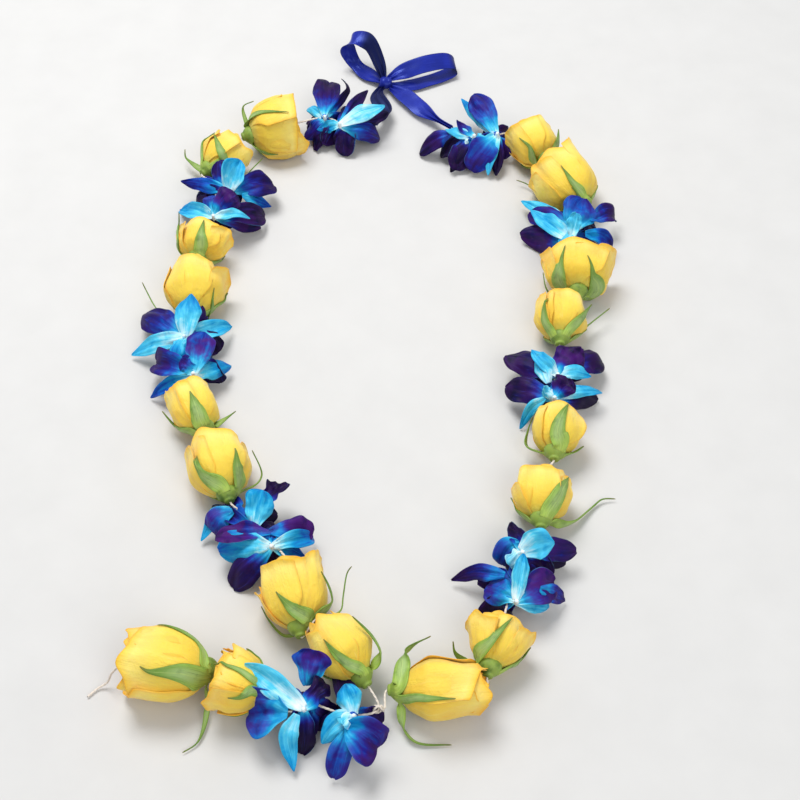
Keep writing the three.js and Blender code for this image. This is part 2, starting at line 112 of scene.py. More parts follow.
# the outermost petals that have come loose: their turn, half the angle that they wrap, how far up
# the bud their rim stands, how far it stands off in millimetres and how far it rolls back in degrees
LOOSE_PETALS = {
    "left_rose_1": [(46, 92, 1.05, 0.8, 10), (186, 36, 1.03, 0.4, 30)],
    "left_rose_2": [(30, 40, 0.80, 0.8, 60)],
    "left_rose_3": [(168, 36, 0.80, 2.6, 120), (10, 34, 0.86, 0.8, 90)],
    "left_rose_4": [(168, 38, 0.64, 5.0, 90)],
    "left_rose_5": [(20, 40, 0.90, 0.4, 40)],
    "left_rose_6": [(12, 44, 0.84, 0.6, 40), (172, 38, 0.72, 1.6, 50)],
    "left_rose_7": [(150, 38, 1.04, 1.6, 45), (-14, 42, 0.66, 1.0, 70)],
    "right_rose_1": [(12, 44, 0.95, 0.8, 40)],
    "right_rose_2": [(150, 34, 1.12, 3.2, 5), (40, 40, 0.9, 0.6, 40)],
    "right_rose_3": [(172, 44, 0.96, 1.5, 60), (10, 40, 0.92, 0.4, 50)],
    "right_rose_4": [(14, 42, 0.92, 1.0, 30)],
    "right_rose_6": [(6, 44, 0.58, 1.2, 20), (178, 32, 0.86, 0.3, 20)],
    "right_rose_7": [(34, 44, 0.74, 4.6, 110), (156, 44, 0.82, 5.0, 60)],
    "right_rose_8": [(122, 112, 1.0, 0.2, 50)],
    "pendant_rose_1": [(150, 44, 1.02, 0.4, 15)],
    "pendant_rose_2": [(135, 26, 0.74, 3.2, 15), (165, 24, 0.92, 2.2, 40), (10, 40, 1.02, 1.2, 50)],
}
LOOSE_RADIUS = 1.05       # a loose petal's radius as part of the bud's
LOOSE_DEPTH = 0.14        # how deep a loose petal's yellow is
BUD_FOOT = [(0, 0.30), (0.08, 0.58), (0.24, 0.86)]       # a bud's outline below its widest place
SHOULDER = 0.78           # part of its length where it has narrowed halfway to the mouth
PETAL_FOOT = 6.8          # mm up the axis, where the petals leave the receptacle
PETAL_THICKNESS = 0.45
OUTER_CELLS = (18, 16)    # faces of a petal's grid, across and along
INNER_CELLS = (12, 10)
INNER_DEPTH = 0.35        # depth of yellow from which a petal is one of the inner ones
FOOT_WIDTH = 0.62         # part of its width that a petal has at its foot
RIM_DROP = 0.11           # part of its length by which a petal's rim is lower at its sides
SPIRAL = 1.3              # mm by which each petal's leading side lies over the next one
EDGE_LIFT = 1.2           # mm by which its leading edge stands off besides
FOLDS = (-0.95, 0.7, -0.6)          # mm, a petal's creases inwards and outwards
FOLD_SLANT = 0.15         # how far a crease moves to the side on its way up
FACETS = 5                # flat sides that the buds get from lying pressed together
FACET_RISE = 0.11         # part of the radius by which the ridges between them stand out
LUMPS = 0.9               # mm, broad unevenness that all the petals of a bud share
DENTS = 0.75              # mm, unevenness of each petal
RIPPLES = 0.4             # mm, narrow ripples along each petal
ROLL_START = 0.76         # part of a petal's length where its rim starts to roll back
LEAST_ROLL = 0.02         # radians, below which a rim stays straight
SOFT_FLOOR = 1.9          # mm above the floor, where a surface starts to settle on it
LEAST_HEIGHT = 0.35       # mm above the floor, as low as a surface's middle gets


class Wire:
    """A socket in a material's node tree. Arithmetic on wires adds Math nodes."""

    def __init__(self, tree, socket=None):
        self.tree, self.socket = tree, socket

    def node(self, kind, settings=None, sockets=None, out=0):
        """Adds a node, sets it and its sockets, and gives its output."""
        node = self.tree.nodes.new(kind)
        for name, value in (settings or {}).items():
            if name == "stops":
                elements = node.color_ramp.elements
                elements.remove(elements[1])
                elements[0].position, elements[0].color = value[0]
                for place, colour in value[1:]:
                    elements.new(place).color = colour
            else:
                setattr(node, name, value)
        for name, value in (sockets or {}).items():
            if isinstance(value, Wire):
                self.tree.links.new(value.socket, node.inputs[name])
            else:
                node.inputs[name].default_value = value
        return Wire(self.tree, node.outputs[out])

    def math(self, operation, *others):
        return self.node("ShaderNodeMath", {"operation": operation}, dict(enumerate((self, *others))))

    def __add__(self, other):
        return self.math("ADD", other)

    def __sub__(self, other):
        return self.math("SUBTRACT", other)

    def __mul__(self, other):
        return self.math("MULTIPLY", other)

    __radd__ = __add__

    def between(self, low, high):
        """0 where this wire is at low or less, 1 where it is at high or more, smooth between."""
        sockets = {0: self, 1: low, 2: high}
        return self.node("ShaderNodeMapRange", {"interpolation_type": "SMOOTHSTEP"}, sockets)

    def colour(self, first, second):
        """From the first colour, where this wire is 0, to the second, where it is 1."""
        settings = {"data_type": "RGBA", "clamp_factor": True}
        return self.node("ShaderNodeMix", settings, {0: self, 6: first, 7: second}, out=2)

    def ramp(self, *stops):
        return self.node("ShaderNodeValToRGB", {"stops": stops}, {0: self})

    def part(self, axis):
        return self.node("ShaderNodeSeparateXYZ", {}, {0: self}, out=axis)

    def from_middle(self):
        """How far this wire is from one half."""
        return (self - 0.5).math("ABSOLUTE")

    def stretch(self, *scale):
        return self.node("ShaderNodeVectorMath", {"operation": "MULTIPLY"}, {0: self, 1: scale})

    def plus(self, other):
        return self.node("ShaderNodeVectorMath", {"operation": "ADD"}, {0: self, 1: other})

    def painted(self, layer):
        """What the pieces' vertices have been painted with in one of their layers."""
        return self.node("ShaderNodeAttribute", {"attribute_name": layer}, out="Fac")

    def clouds(self, scale, detail=3.0, roughness=0.55, distortion=0.0):
        """Noise from 0 to 1 at this wire's places."""
        sockets = {"Vector": self, "Scale": scale, "Detail": detail, "Roughness": roughness,
                   "Distortion": distortion}
        return self.node("ShaderNodeTexNoise", {"noise_dimensions": "3D"}, sockets)

    def bump(self, strength, distance):
        """The surface's normal with this wire as its height."""
        sockets = {"Strength": strength, "Distance": distance, "Height": self}
        return self.node("ShaderNodeBump", {}, sockets)

    def into(self, shader, socket):
        self.tree.links.new(self.socket, shader.inputs[socket])


def rgb(red, green, blue):
    """A colour as seen on a screen, 0 to 255, as the shader's linear one."""
    shown = [part / 255 for part in (red, green, blue)]
    return (*(part / 12.92 if part < 0.04 else ((part + 0.055) / 1.055) ** 2.4 for part in shown), 1)


def new_finish(name, **fixed):
    """A material, its shader, a wire on its object coordinates and one on its pieces' UV map."""
    material = bpy.data.materials.new(name)
    material.use_nodes = True
    shader = material.node_tree.nodes["Principled BSDF"]
    for socket, value in fixed.items():
        shader.inputs[socket.replace("_", " ")].default_value = value
    start = Wire(material.node_tree)
    place = start.node("ShaderNodeTexCoord", out="Object")
    return material, shader, place, start.node("ShaderNodeUVMap", {"uv_map": "along"})


def through(stops, x):
    """The value at x of a smooth curve through the stops, which are (x, value) in order."""
    k = max(0, min(len(stops) - 2, sum(1 for stop in stops if stop[0] <= x) - 1))
    (x0, y0), (x1, y1) = stops[k], stops[k + 1]

    def slope(i):
        before, after = stops[max(i - 1, 0)], stops[min(i + 1, len(stops) - 1)]
        return (after[1] - before[1]) / (after[0] - before[0])

    span = x1 - x0
    t = (x - x0) / span
    return (y0 * (2 * t**3 - 3 * t**2 + 1) + slope(k) * (span * (t**3 - 2 * t**2 + t))
            + y1 * (3 * t**2 - 2 * t**3) + slope(k + 1) * (span * (t**3 - t**2)))


def heading(run, x, reach):
    """The direction of a curve through places at x, from reach before it to reach after it."""
    start, end = run[0][0], run[-1][0]
    return (through(run, min(end, x + reach)) - through(run, max(start, x - reach))).normalized()


def distances(places):
    """How far each place is from the first one, along the line through all of them."""
    spans = [0.0]
    for before, after in zip(places, places[1:]):
        spans.append(spans[-1] + (after - before).length)
    return spans


def wave(seed, x, y=0, z=0):
    """Smooth noise from about -1 to 1 at a place, another for each seed."""
    return noise.noise(Vector((x + seed * 7.31, y + seed * 3.17, z + seed * 5.73)))


def off_axis(radius, turn, z):
    """A place at a distance from the Z axis, in the direction of a turn in radians."""
    return Vector((radius * math.cos(turn), radius * math.sin(turn), z))


def resting(place):
    """Keeps a soft surface off the floor: what would go through it lies on it."""
    if place.z < SOFT_FLOOR:
        room = SOFT_FLOOR - LEAST_HEIGHT
        place.z = LEAST_HEIGHT + room * math.exp((place.z - SOFT_FLOOR) / room)
    return place


def axis_frame(base, tip):
    """Turns a flower's own frame, +Z along its axis and +Y on its upper side, into the lei's."""
    facing = (tip - base).normalized()
    up = (Vector((0, 0, 1)) - facing * facing.z).normalized()
    turn = Matrix((up.cross(facing), up, facing)).transposed().to_4x4()
    return Matrix.Translation(base) @ turn


def new_shape():
    """An empty mesh with the UV map and the two paint layers that the finishes read."""
    bm = bmesh.new()
    bm.loops.layers.uv.new("along")
    bm.verts.layers.float.new("depth")
    bm.verts.layers.float.new("blush")
    return bm


def lay_sheet(bm, cells, place, paint=lambda u, v: (0, 0)):
    """A thin sheet: a grid whose corners go to place(u, v), with u from -1 to 1 and v from 0 to 1."""
    grid = bmesh.ops.create_grid(bm, x_segments=cells[0], y_segments=cells[1], size=1, calc_uvs=True)
    depth, blush = bm.verts.layers.float["depth"], bm.verts.layers.float["blush"]
    for corner in grid["verts"]:
        u, v = corner.co.x, (corner.co.y + 1) / 2
        corner[depth], corner[blush] = paint(u, v)
        corner.co = place(u, v)
    return grid["verts"]


def set_down(name, bm, material, thickness=0, smoothing=1):
    """Makes the mesh a piece of the lei that stands for the CAD node of that name."""
    bmesh.ops.scale(bm, vec=(MM, MM, MM), verts=bm.verts)
    for face in bm.faces:
        face.smooth = True
    mesh = bpy.data.meshes.new(name)
    bm.to_mesh(mesh)
    bm.free()
    mesh.materials.append(material)
    piece = bpy.data.objects.new(name, mesh)
    bpy.context.collection.objects.link(piece)
    if thickness:
        wall = piece.modifiers.new("wall", "SOLIDIFY")
        wall.thickness, wall.offset = thickness * MM, 0
    if smoothing:
        soft = piece.modifiers.new("soft", "SUBSURF")
        soft.levels = soft.render_levels = smoothing
    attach(piece, "root")
    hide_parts(name)
    return piece


def rose_finish():
    material, shader, place, uv = new_finish(
        "rose_petal_yellow", Subsurface_Weight=0.12, Subsurface_Radius=(1.0, 0.6, 0.1),
        Subsurface_Scale=0.003, Sheen_Weight=0.15, Sheen_Roughness=0.5, Specular_IOR_Level=0.3)
    across, along = uv.part(0), uv.part(1)
    drift = place.stretch(60, 60, 60)
    veins = uv.stretch(34, 2.4, 1).plus(drift).clouds(1.0, detail=4, roughness=0.6)
    cloud = place.clouds(70, detail=2)
    body = along.ramp((0.0, rgb(222, 208, 88)), (0.13, rgb(244, 204, 66)), (0.55, rgb(248, 214, 84)),
                      (0.86, rgb(251, 224, 116)), (1.0, rgb(247, 200, 60)))
    # Painted shade: orange along each petal's sides and rim and, from the second paint layer, along its
    # inward creases, mixed with the deeper yellow of the inner petals and random patches of tone.
    side = across.from_middle().between(0.455, 0.5)
    rim = along.between(0.955, 1.0)
    depth_and_shade = place.painted("depth") * 0.8 + place.painted("blush") * 0.55
    depth_and_shade = depth_and_shade + (side + rim) * 0.4 + cloud.between(0.52, 0.8) * 0.22
    petal = (depth_and_shade + (veins - 0.5) * 0.28).colour(body, rgb(242, 160, 16))
    petal = (veins.between(0.55, 0.85) * 0.5).colour(petal, rgb(252, 228, 138))
    speck = place.clouds(420, detail=1).between(0.76, 0.82) * rim
    petal = (speck * 0.5).colour(petal, rgb(196, 120, 30))
    petal.into(shader, "Base Color")
    (0.52 + veins * 0.16).into(shader, "Roughness")
    grain = uv.stretch(90, 7, 1).plus(drift).clouds(1.0, detail=3)
    crumple = place.clouds(210, detail=2, distortion=0.8)
    (veins * 0.8 + grain * 0.3 + crumple * 1.2).bump(0.5, 0.001).into(shader, "Normal")
    return material


class Bud:
    """A rosebud's axis and size, the curve of its outline and the chance that shapes its petals."""

    def __init__(self, name):
        tip, base, self.radius, self.first_turn, mouth, self.roll, widest, self.outer_rim = ROSES[name]
        self.base, self.tip = seen_at(*base), seen_at(*tip)
        self.length = (self.tip - self.base).length
        self.axis = (self.tip - self.base).normalized()
        self.home = axis_frame(self.base, self.tip)
        self.outline = [*BUD_FOOT, (widest, 1.0), (SHOULDER, 0.5 + 0.5 * mouth), (1, mouth)]
        self.chance = random.Random(name)
        self.facet_turn = self.chance.uniform(0, math.tau)
        self.skin = None      # the petals' surface, once they are laid


def lay_petal(bm, bud, turn, part, rim, wrap, closing, deep, off, roll):
    """One petal, whose measures are those that PETALS and LOOSE_PETALS list."""
    chance = bud.chance
    soft = 1 - deep
    centre = math.radians(turn + chance.uniform(-7, 7))
    half_angle = math.radians(wrap)
    seed = chance.uniform(0, 40)
    point = chance.uniform(0.04, 0.12) * soft
    keel = chance.uniform(0.3, 1.2) * soft
    roll = math.radians(roll * chance.uniform(0.7, 1.2)) * soft**2
    lean = chance.uniform(-0.4, 0.4)
    sway = chance.uniform(-0.22, 0.22)
    folds = [(chance.uniform(-0.7, 0.7), chance.uniform(0.12, 0.26), soft * fold * chance.uniform(0.6, 1.3))
             for fold in FOLDS]
    bloom = bud.length - PETAL_FOOT

    def folded(u, v, at, width):
        """1 along the middle of a crease and 0 beyond its sides."""
        return max(0.0, 1 - abs(u - at - FOLD_SLANT * v) / width)

    def relief(u, v, up, angle):
        """How far the petal stands out from a smooth bud."""
        spot = off_axis(1.4, angle, up * 2.0)
        rise = SPIRAL * u * (0.4 + 0.6 * up) + off * (up / rim) ** 3
        rise += LUMPS * (1 - deep * 0.6) * wave(bud.facet_turn, *spot)
        rise += DENTS * wave(seed + 3, *(spot * 2.4))
        rise += RIPPLES * wave(seed + 6, u * 7, v * 1.2) * soft
        rise += keel * up * (math.exp(-(u * 2.6) ** 2) - 0.35)
        rise += up * sum(depth * folded(u, v, at, width) for at, width, depth in folds)
        return rise + EDGE_LIFT * max(0.0, (u - 0.8) / 0.2) ** 2 * math.sin(math.pi * min(1, v * 0.9))

    def place(u, v):
        narrow = FOOT_WIDTH + (1 - FOOT_WIDTH) * min(1, v / 0.3) ** 0.7
        angle = centre + u * half_angle * narrow + sway * v
        reach = rim * (1 - RIM_DROP * abs(u) ** 2.5) + point * (math.exp(-(u * 4.5) ** 2) - 0.2)
        reach += 0.03 * wave(seed, u * 2.6)
        up = v * reach
        ridge = 1 - abs(math.sin(FACETS / 2 * (angle - bud.facet_turn) - 0.5 * up))
        r = bud.radius * part * through(bud.outline, up)
        r *= 1 + (FACET_RISE * ridge - 0.045) * min(1, up * 1.6)
        r = r * (1 - closing * up**2.2) + relief(u, v, up, angle)
        z = PETAL_FOOT + bloom * up
        past = max(0.0, v - ROLL_START) * reach * bloom
        bend = roll * (0.25 + 0.75 * min(1, abs(u) * 1.8)) * (1 + lean * u)
        if past > 0 and bend > LEAST_ROLL:
            rolled = bend * (v - ROLL_START) / (1 - ROLL_START)
            r += past / rolled * (1 - math.cos(rolled))
            z += past / rolled * math.sin(rolled) - past
        z += 0.5 * max(0.0, v - 0.8) / 0.2 * wave(seed + 9, u * 3.5, v)
        return resting(bud.home @ off_axis(r, angle, z))

    # The depth of yellow and, in the second layer, painted orange shade along the inward creases with
    # random patches of warmer tint.
    def paint(u, v):
        crease = sum(folded(u, v, at, width) for at, width, depth in folds if depth < 0)
        tint = 0.5 + wave(seed + 5, u * 3.0, v * 1.3)
        return deep * (0.55 + 0.45 * v), (0.45 * min(1, crease) + max(0.0, tint - 0.62)) * v

    lay_sheet(bm, OUTER_CELLS if deep < INNER_DEPTH else INNER_CELLS, place, paint)


rose_petal_yellow = rose_finish()
buds = {}
for name in ROSES:
    bm = new_shape()
    bud = buds[name] = Bud(name)
    for turn, part, inwards, wrap, closing, deep in PETALS:
        rim = bud.outer_rim + (1 - bud.outer_rim) * inwards
        lay_petal(bm, bud, bud.first_turn + turn, part, rim, wrap, closing, deep, 0, bud.roll)
    for turn, wrap, rim, off, roll in LOOSE_PETALS.get(name, []):
        lay_petal(bm, bud, turn, LOOSE_RADIUS, rim, wrap, 0, LOOSE_DEPTH, off, roll)
    bud.skin = BVHTree.FromBMesh(bm)
    set_down(name + "_petals", bm, rose_petal_yellow, PETAL_THICKNESS)

# ---------------------------------------------------------------- rose calyces
# Under each head the green calyx: a short cut stub, the swollen receptacle and five long sepals.
# They are leaf-like, ridged down the middle, lie along the petals and end in a thin curling point.

# for each rose the sepals that the photograph shows: half the width in millimetres and the pixels
# along the middle, with the height above the floor in millimetres where it doesn't lie on the petals
SEPALS = {
    "left_rose_1": [(2.6, [(244, 133, 17), (247, 123), (258, 114), (272, 112), (289, 113)]),
        (1.6, [(242, 133, 17), (240, 121, 22), (243, 107, 28), (254, 101, 32)]),
        (2.2, [(250, 146, 12), (262, 151, 12), (278, 153)])],
    "left_rose_2": [(3.2, [(223, 160), (219, 149), (216, 136)]),
        (3.4, [(205, 180, 12), (191, 171, 9), (186, 158, 9), (185, 149, 11)]),
        (1.6, [(245, 176), (252, 169, 12), (263, 158, 9)])],
    "left_rose_3": [(4.2, [(200, 251), (201, 235), (204, 221)]),
        (1.8, [(182, 254), (179, 240), (179, 225), (179, 212)])],
    "left_rose_4": [(2.4, [(207, 320), (211, 302), (213, 288)]),
        (1.6, [(166, 318, 14), (154, 305, 8), (147, 292, 9), (142, 282, 14)])],
    "left_rose_5": [(5.2, [(205, 430), (197, 410), (190, 392)]),
        (3.6, [(196, 434), (176, 425), (162, 411, 14)]),
        (3.2, [(219, 434, 14), (230, 424, 15), (236, 411, 18)])],
    "left_rose_6": [(4.6, [(224, 492), (214, 483), (202, 473), (198, 456)]),
        (4.6, [(237, 486), (236, 466), (234, 449)]),
        (1.5, [(243, 491), (258, 483, 10), (262, 473, 12), (252, 450, 22)])],
    "left_rose_7": [(4, [(307, 624), (292, 609), (277, 592)]),
        (2.8, [(315, 617), (332, 603, 20), (330, 589, 26), (321, 571, 33)]),
        (1.2, [(306, 636, 8), (285, 636, 4), (270, 622, 4), (261, 606, 7)]),
        (1.4, [(322, 624, 18), (340, 612, 17), (343, 597, 20), (347, 573, 26), (352, 566, 31)])],
    "left_rose_8": [(3.2, [(368, 683), (346, 662), (324, 639)]),
        (3, [(375, 676), (381, 654, 21), (373, 637, 26), (352, 616, 33)])],
    "right_rose_1": [(2.4, [(538, 163), (531, 148), (520, 138)])],
    "right_rose_2": [(2.8, [(583, 195), (571, 180), (561, 166)]), (1.2, [(577, 193), (572, 188)]),
        (2, [(560, 205, 8), (540, 192, 5), (527, 184, 4), (516, 180, 5)])],
    "right_rose_3": [(3.3, [(565, 290), (562, 262), (566, 246)]),
        (3.3, [(583, 298), (591, 276), (587, 256)]),
        (1.4, [(556, 300), (546, 288, 14), (543, 272, 20)])],
    "right_rose_4": [(3.4, [(555, 339), (546, 322), (549, 299)]),
        (3.2, [(566, 336), (577, 322), (592, 304, 20)]),
        (2.8, [(572, 338, 14), (590, 324, 10), (610, 308, 12)])],
    "right_rose_5": [(4.8, [(556, 458), (557, 435), (561, 418), (568, 404)]),
        (3.6, [(538, 464), (526, 446), (528, 430), (533, 417)]),
        (2.8, [(560, 463), (575, 452, 14), (584, 446, 16)])],
    "right_rose_6": [(5.2, [(546, 519), (555, 502), (562, 488), (567, 477)]),
        (2.8, [(551, 526), (564, 525, 10), (576, 521, 5), (588, 511, 2.5), (595, 505, 2), (602, 499, 3),
               (616, 499, 2)])],
    "right_rose_7": [(3.2, [(478, 660), (491, 642), (503, 628), (512, 618)]),
        (2.6, [(466, 662), (455, 653, 16), (453, 641, 24)]),
        (3.4, [(474, 668), (492, 672), (506, 668)]),
        (3, [(470, 672, 12), (482, 686, 7), (498, 686, 8)])],
    "right_rose_8": [(2.5, [(396, 697), (420, 697), (456, 698)]),
        (4.4, [(391, 688, 20), (392, 670, 24), (406, 651), (431, 636, 38)]),
        (2.2, [(394, 706, 12), (403, 728, 5), (417, 743, 2), (452, 745, 1.6)])],
    "pendant_rose_1": [(5.6, [(210, 676), (180, 673), (148, 671), (140, 666)]),
        (2, [(211, 668), (202, 651), (184, 634), (157, 627)]),
        (1.9, [(206, 690, 12), (207, 712, 5), (198, 742, 1.8), (182, 753, 1.5)])],
    "pendant_rose_2": [(2, [(253, 680), (240, 671), (226, 666), (213, 664)]),
        (3, [(252, 690), (240, 697), (228, 697)])],
}
SEPAL_OUTLINE = [(0, 0.85), (0.2, 1.0), (0.45, 0.84), (0.7, 0.44), (0.88, 0.17), (1, 0.04)]
SEPAL_FOOT = 3.2          # mm, half the width with which the narrow ones start too
SEPAL_ROOT = [(5.0, 3.6), (7.2, 6.2)]       # mm from the axis and up it, a sepal's first two places
KNEE_ROOM = 3             # mm, at least, from the second of these to a sepal's next place
KNEE_HEIGHT = 5           # mm up the axis, at least, for that place
SEPAL_COUNT = 5
SEPAL_CELLS = (6, 18)
SEPAL_THICKNESS = 0.7
STOP_GAP = 0.8            # mm from the petals to a sepal's middle line
SEPAL_GAP = 1.1           # mm from the petals to a sepal, in the middle of its width
HIDDEN_FROM = 98          # degrees from the camera's side, beyond which it doesn't see a sepal
HIDDEN_STOPS = (0.12, 0.35, 0.65, 1.0)      # parts of a hidden sepal's length
HIDDEN_OUTLINE = [*BUD_FOOT, (0.5, 1.0), (1, 0.8)]       # of the bud that it lies along
HIDDEN_FOOT = 7.5         # mm up the axis, where it starts to lie along the bud
RECEPTACLE = [(0, 0), (2.5, 0), (2.8, 0.7), (2.7, 1.5), (4.0, 2.4), (5.3, 3.7), (6.1, 5.4), (6.3, 7.2),
              (5.4, 8.5), (3.0, 9.1), (0, 9.2)]
RECEPTACLE_SIDES = 20
CLEAR_OF_ROSE = 50        # mm from a rose's axis, outside all of its petals
NEAR_ROSE = 45            # mm along the camera's line, before and behind a rose's base
WELD = 1e-4               # mm, closer than which the corners of a mesh are one


def spin_round(bm, profile, home, steps, depth=0.0):
    """A turned solid: the profile, in pairs of radius and height, spun round its axis."""
    ring = [bm.verts.new((r, 0, z)) for r, z in profile]
    edges = [bm.edges.new(pair) for pair in zip(ring, ring[1:])]
    before = set(bm.verts) - set(ring)
    bmesh.ops.spin(bm, geom=ring + edges, cent=(0, 0, 0), axis=(0, 0, 1), angle=math.tau, steps=steps,
                   use_merge=True)
    made = [corner for corner in bm.verts if corner not in before]
    bmesh.ops.remove_doubles(bm, verts=made, dist=WELD)
    made = [corner for corner in made if corner.is_valid]
    faces = dict.fromkeys(face for corner in made for face in corner.link_faces)
    bmesh.ops.recalc_face_normals(bm, faces=list(faces))
    for corner in made:
        corner[bm.verts.layers.float["depth"]] = depth
        corner.co = home @ corner.co


def calyx_finish():
    material, shader, place, uv = new_finish(
        "sepal_green", Subsurface_Weight=0.1, Subsurface_Radius=(0.5, 0.9, 0.2), Subsurface_Scale=0.002,
        Specular_IOR_Level=0.4)
    along, from_middle = uv.part(1), uv.part(0).from_middle()
    lines = uv.stretch(30, 2.5, 1).plus(place.stretch(80, 80, 80)).clouds(1.0, detail=4)
    cloud = place.clouds(160, detail=3)
    leaf = along.ramp((0.0, rgb(176, 200, 88)), (0.18, rgb(158, 190, 80)), (0.5, rgb(132, 168, 70)),
                      (0.85, rgb(104, 138, 50)), (1.0, rgb(124, 112, 48)))
    down = from_middle.between(0.42, 0.12) * along.between(0.06, 0.3) * along.between(0.75, 0.45)
    leaf = (down * 0.5).colour(leaf, rgb(172, 194, 138))
    leaf = (from_middle.between(0.05, 0.0) * 0.5).colour(leaf, rgb(188, 208, 120))
    dark = lines.between(0.48, 0.75) * 0.55 + cloud.between(0.5, 0.75) * 0.35
    leaf = dark.colour(leaf, rgb(50, 86, 26))
    leaf = (from_middle.between(0.45, 0.5) * 0.5).colour(leaf, rgb(84, 116, 38))
    leaf.into(shader, "Base Color")
    (0.42 + cloud * 0.2).into(shader, "Roughness")
    (lines + cloud * 0.5).bump(0.4, 0.0005).into(shader, "Normal")
    return material


def clear_of_petals(bud, place, gap):
    """Moves a place out from the rose's axis until it lies on the petals."""
    up = (place - bud.base).dot(bud.axis)
    foot = bud.base + bud.axis * up
    outward = (place - foot).normalized()
    struck = bud.skin.ray_cast(foot + outward * CLEAR_OF_ROSE, -outward, CLEAR_OF_ROSE)
    if struck[0] is None or up < PETAL_FOOT:
        return place
    return foot + outward * max((place - foot).length, CLEAR_OF_ROSE - struck[3] + gap)


def on_the_rose(bud, skins, x, y):
    """Where the camera's line through a pixel meets a rose or else comes nearest to it."""
    line = sight(x, y)
    struck = [skin.ray_cast(CAMERA_PLACE, line) for skin in skins]
    struck = [hit for hit in struck if hit[0]]
    if struck:
        return min(struck, key=lambda hit: hit[3])[0]
    start = (bud.base - CAMERA_PLACE).dot(line)
    along = [CAMERA_PLACE + line * (start + step) for step in range(-NEAR_ROSE, NEAR_ROSE + 1)]
    return min(along, key=lambda place: min(skin.find_nearest(place)[3] for skin in skins))


def turn_of(place):
    """The turn in degrees of a place round a flower's own axis."""
    return math.degrees(math.atan2(place.y, place.x))


def apart(turn, other):
    """The angle in degrees between two turns."""
    return abs((turn - other + 180) % 360 - 180)


def lay_sepal(bm, bud, stops, half_width, seed):
    """A ridged leaf along the stops, with its back to the rose's axis."""
    spans = distances(stops)
    run = [(span / spans[-1], clear_of_petals(bud, stop, STOP_GAP)) for span, stop in zip(spans, stops)]

    def place(u, v):
        middle = through(run, v)
        ahead = heading(run, v, 0.02)
        spoke = middle - bud.base
        outward = spoke - bud.axis * spoke.dot(bud.axis)
        side = ahead.cross(outward).normalized()
        face = side.cross(ahead)
        width = half_width * through(SEPAL_OUTLINE, v)
        width += max(0, SEPAL_FOOT - half_width) * max(0, 1 - v / 0.22)
        width *= 1 + 0.12 * wave(seed, v * 4, u)
        dip = 0.05 * (u * width) ** 2 - 0.35 * max(0.0, 1 - abs(u) * 3) * (1 - v)
        twist = 0.9 * v * v * wave(seed, 0, 0, seed) * width * u
        spot = middle + side * (u * width) + face * (twist - dip)
        return resting(clear_of_petals(bud, spot, SEPAL_GAP - 0.2 * abs(u)))

    lay_sheet(bm, SEPAL_CELLS, place)


def sepal_root(bud, turn):
    """A sepal's first two places, on the receptacle."""
    return [bud.home @ off_axis(r, math.radians(turn), z) for r, z in SEPAL_ROOT]


def lay_hidden_sepal(bm, bud, turn, chance):
    """A sepal on the side that the photograph doesn't show, along the bud from its foot."""
    turn += chance.uniform(-8, 8)
    end = chance.uniform(0.45, 0.75)
    stops = sepal_root(bud, turn)
    for part in HIDDEN_STOPS:
        up = part * end
        r = bud.radius * through(HIDDEN_OUTLINE, up) + SEPAL_GAP + 2.5 * part**3 * chance.uniform(0, 1)
        bend = math.radians(turn) + chance.uniform(-0.12, 0.12) * part
        stops.append(bud.home @ off_axis(r, bend, HIDDEN_FOOT + (bud.length - HIDDEN_FOOT) * up))
    lay_sepal(bm, bud, stops, chance.uniform(2.6, 3.8), chance.uniform(0, 50))


def lay_calyx(bm, bud, name):
    """A receptacle, the sepals that the photograph shows and the hidden ones in the gaps between."""
    chance = random.Random(name + "calyx")
    spin_round(bm, RECEPTACLE, bud.home, RECEPTACLE_SIDES)
    skins = [bud.skin, BVHTree.FromBMesh(bm)]
    back = bud.home.inverted()
    turns = []
    for half_width, pixels in SEPALS[name]:
        stops = [seen_at(*pixel) if len(pixel) == 3 else on_the_rose(bud, skins, *pixel)
                 for pixel in pixels]
        turns.append(turn_of(back @ stops[1]))
        root, knee = sepal_root(bud, turn_of(back @ stops[0]))
        stops = [stop for stop in stops if (back @ stop).z > KNEE_HEIGHT]
        kept = [stop for stop in stops if (stop - knee).length > KNEE_ROOM]
        lay_sepal(bm, bud, [root, knee, *kept], half_width, chance.uniform(0, 50))
    seen_from = turn_of(back @ CAMERA_PLACE)
    hidden = [turn for turn in range(0, 360, 5) if apart(turn, seen_from) > HIDDEN_FROM]
    while len(turns) < SEPAL_COUNT:
        turns.append(max(hidden, key=lambda turn: min(apart(turn, other) for other in turns)))
        lay_hidden_sepal(bm, bud, turns[-1], chance)


sepal_green = calyx_finish()
for name, bud in buds.items():
    bm = new_shape()
    lay_calyx(bm, bud, name)
    set_down(name + "_calyx", bm, sepal_green, SEPAL_THICKNESS)
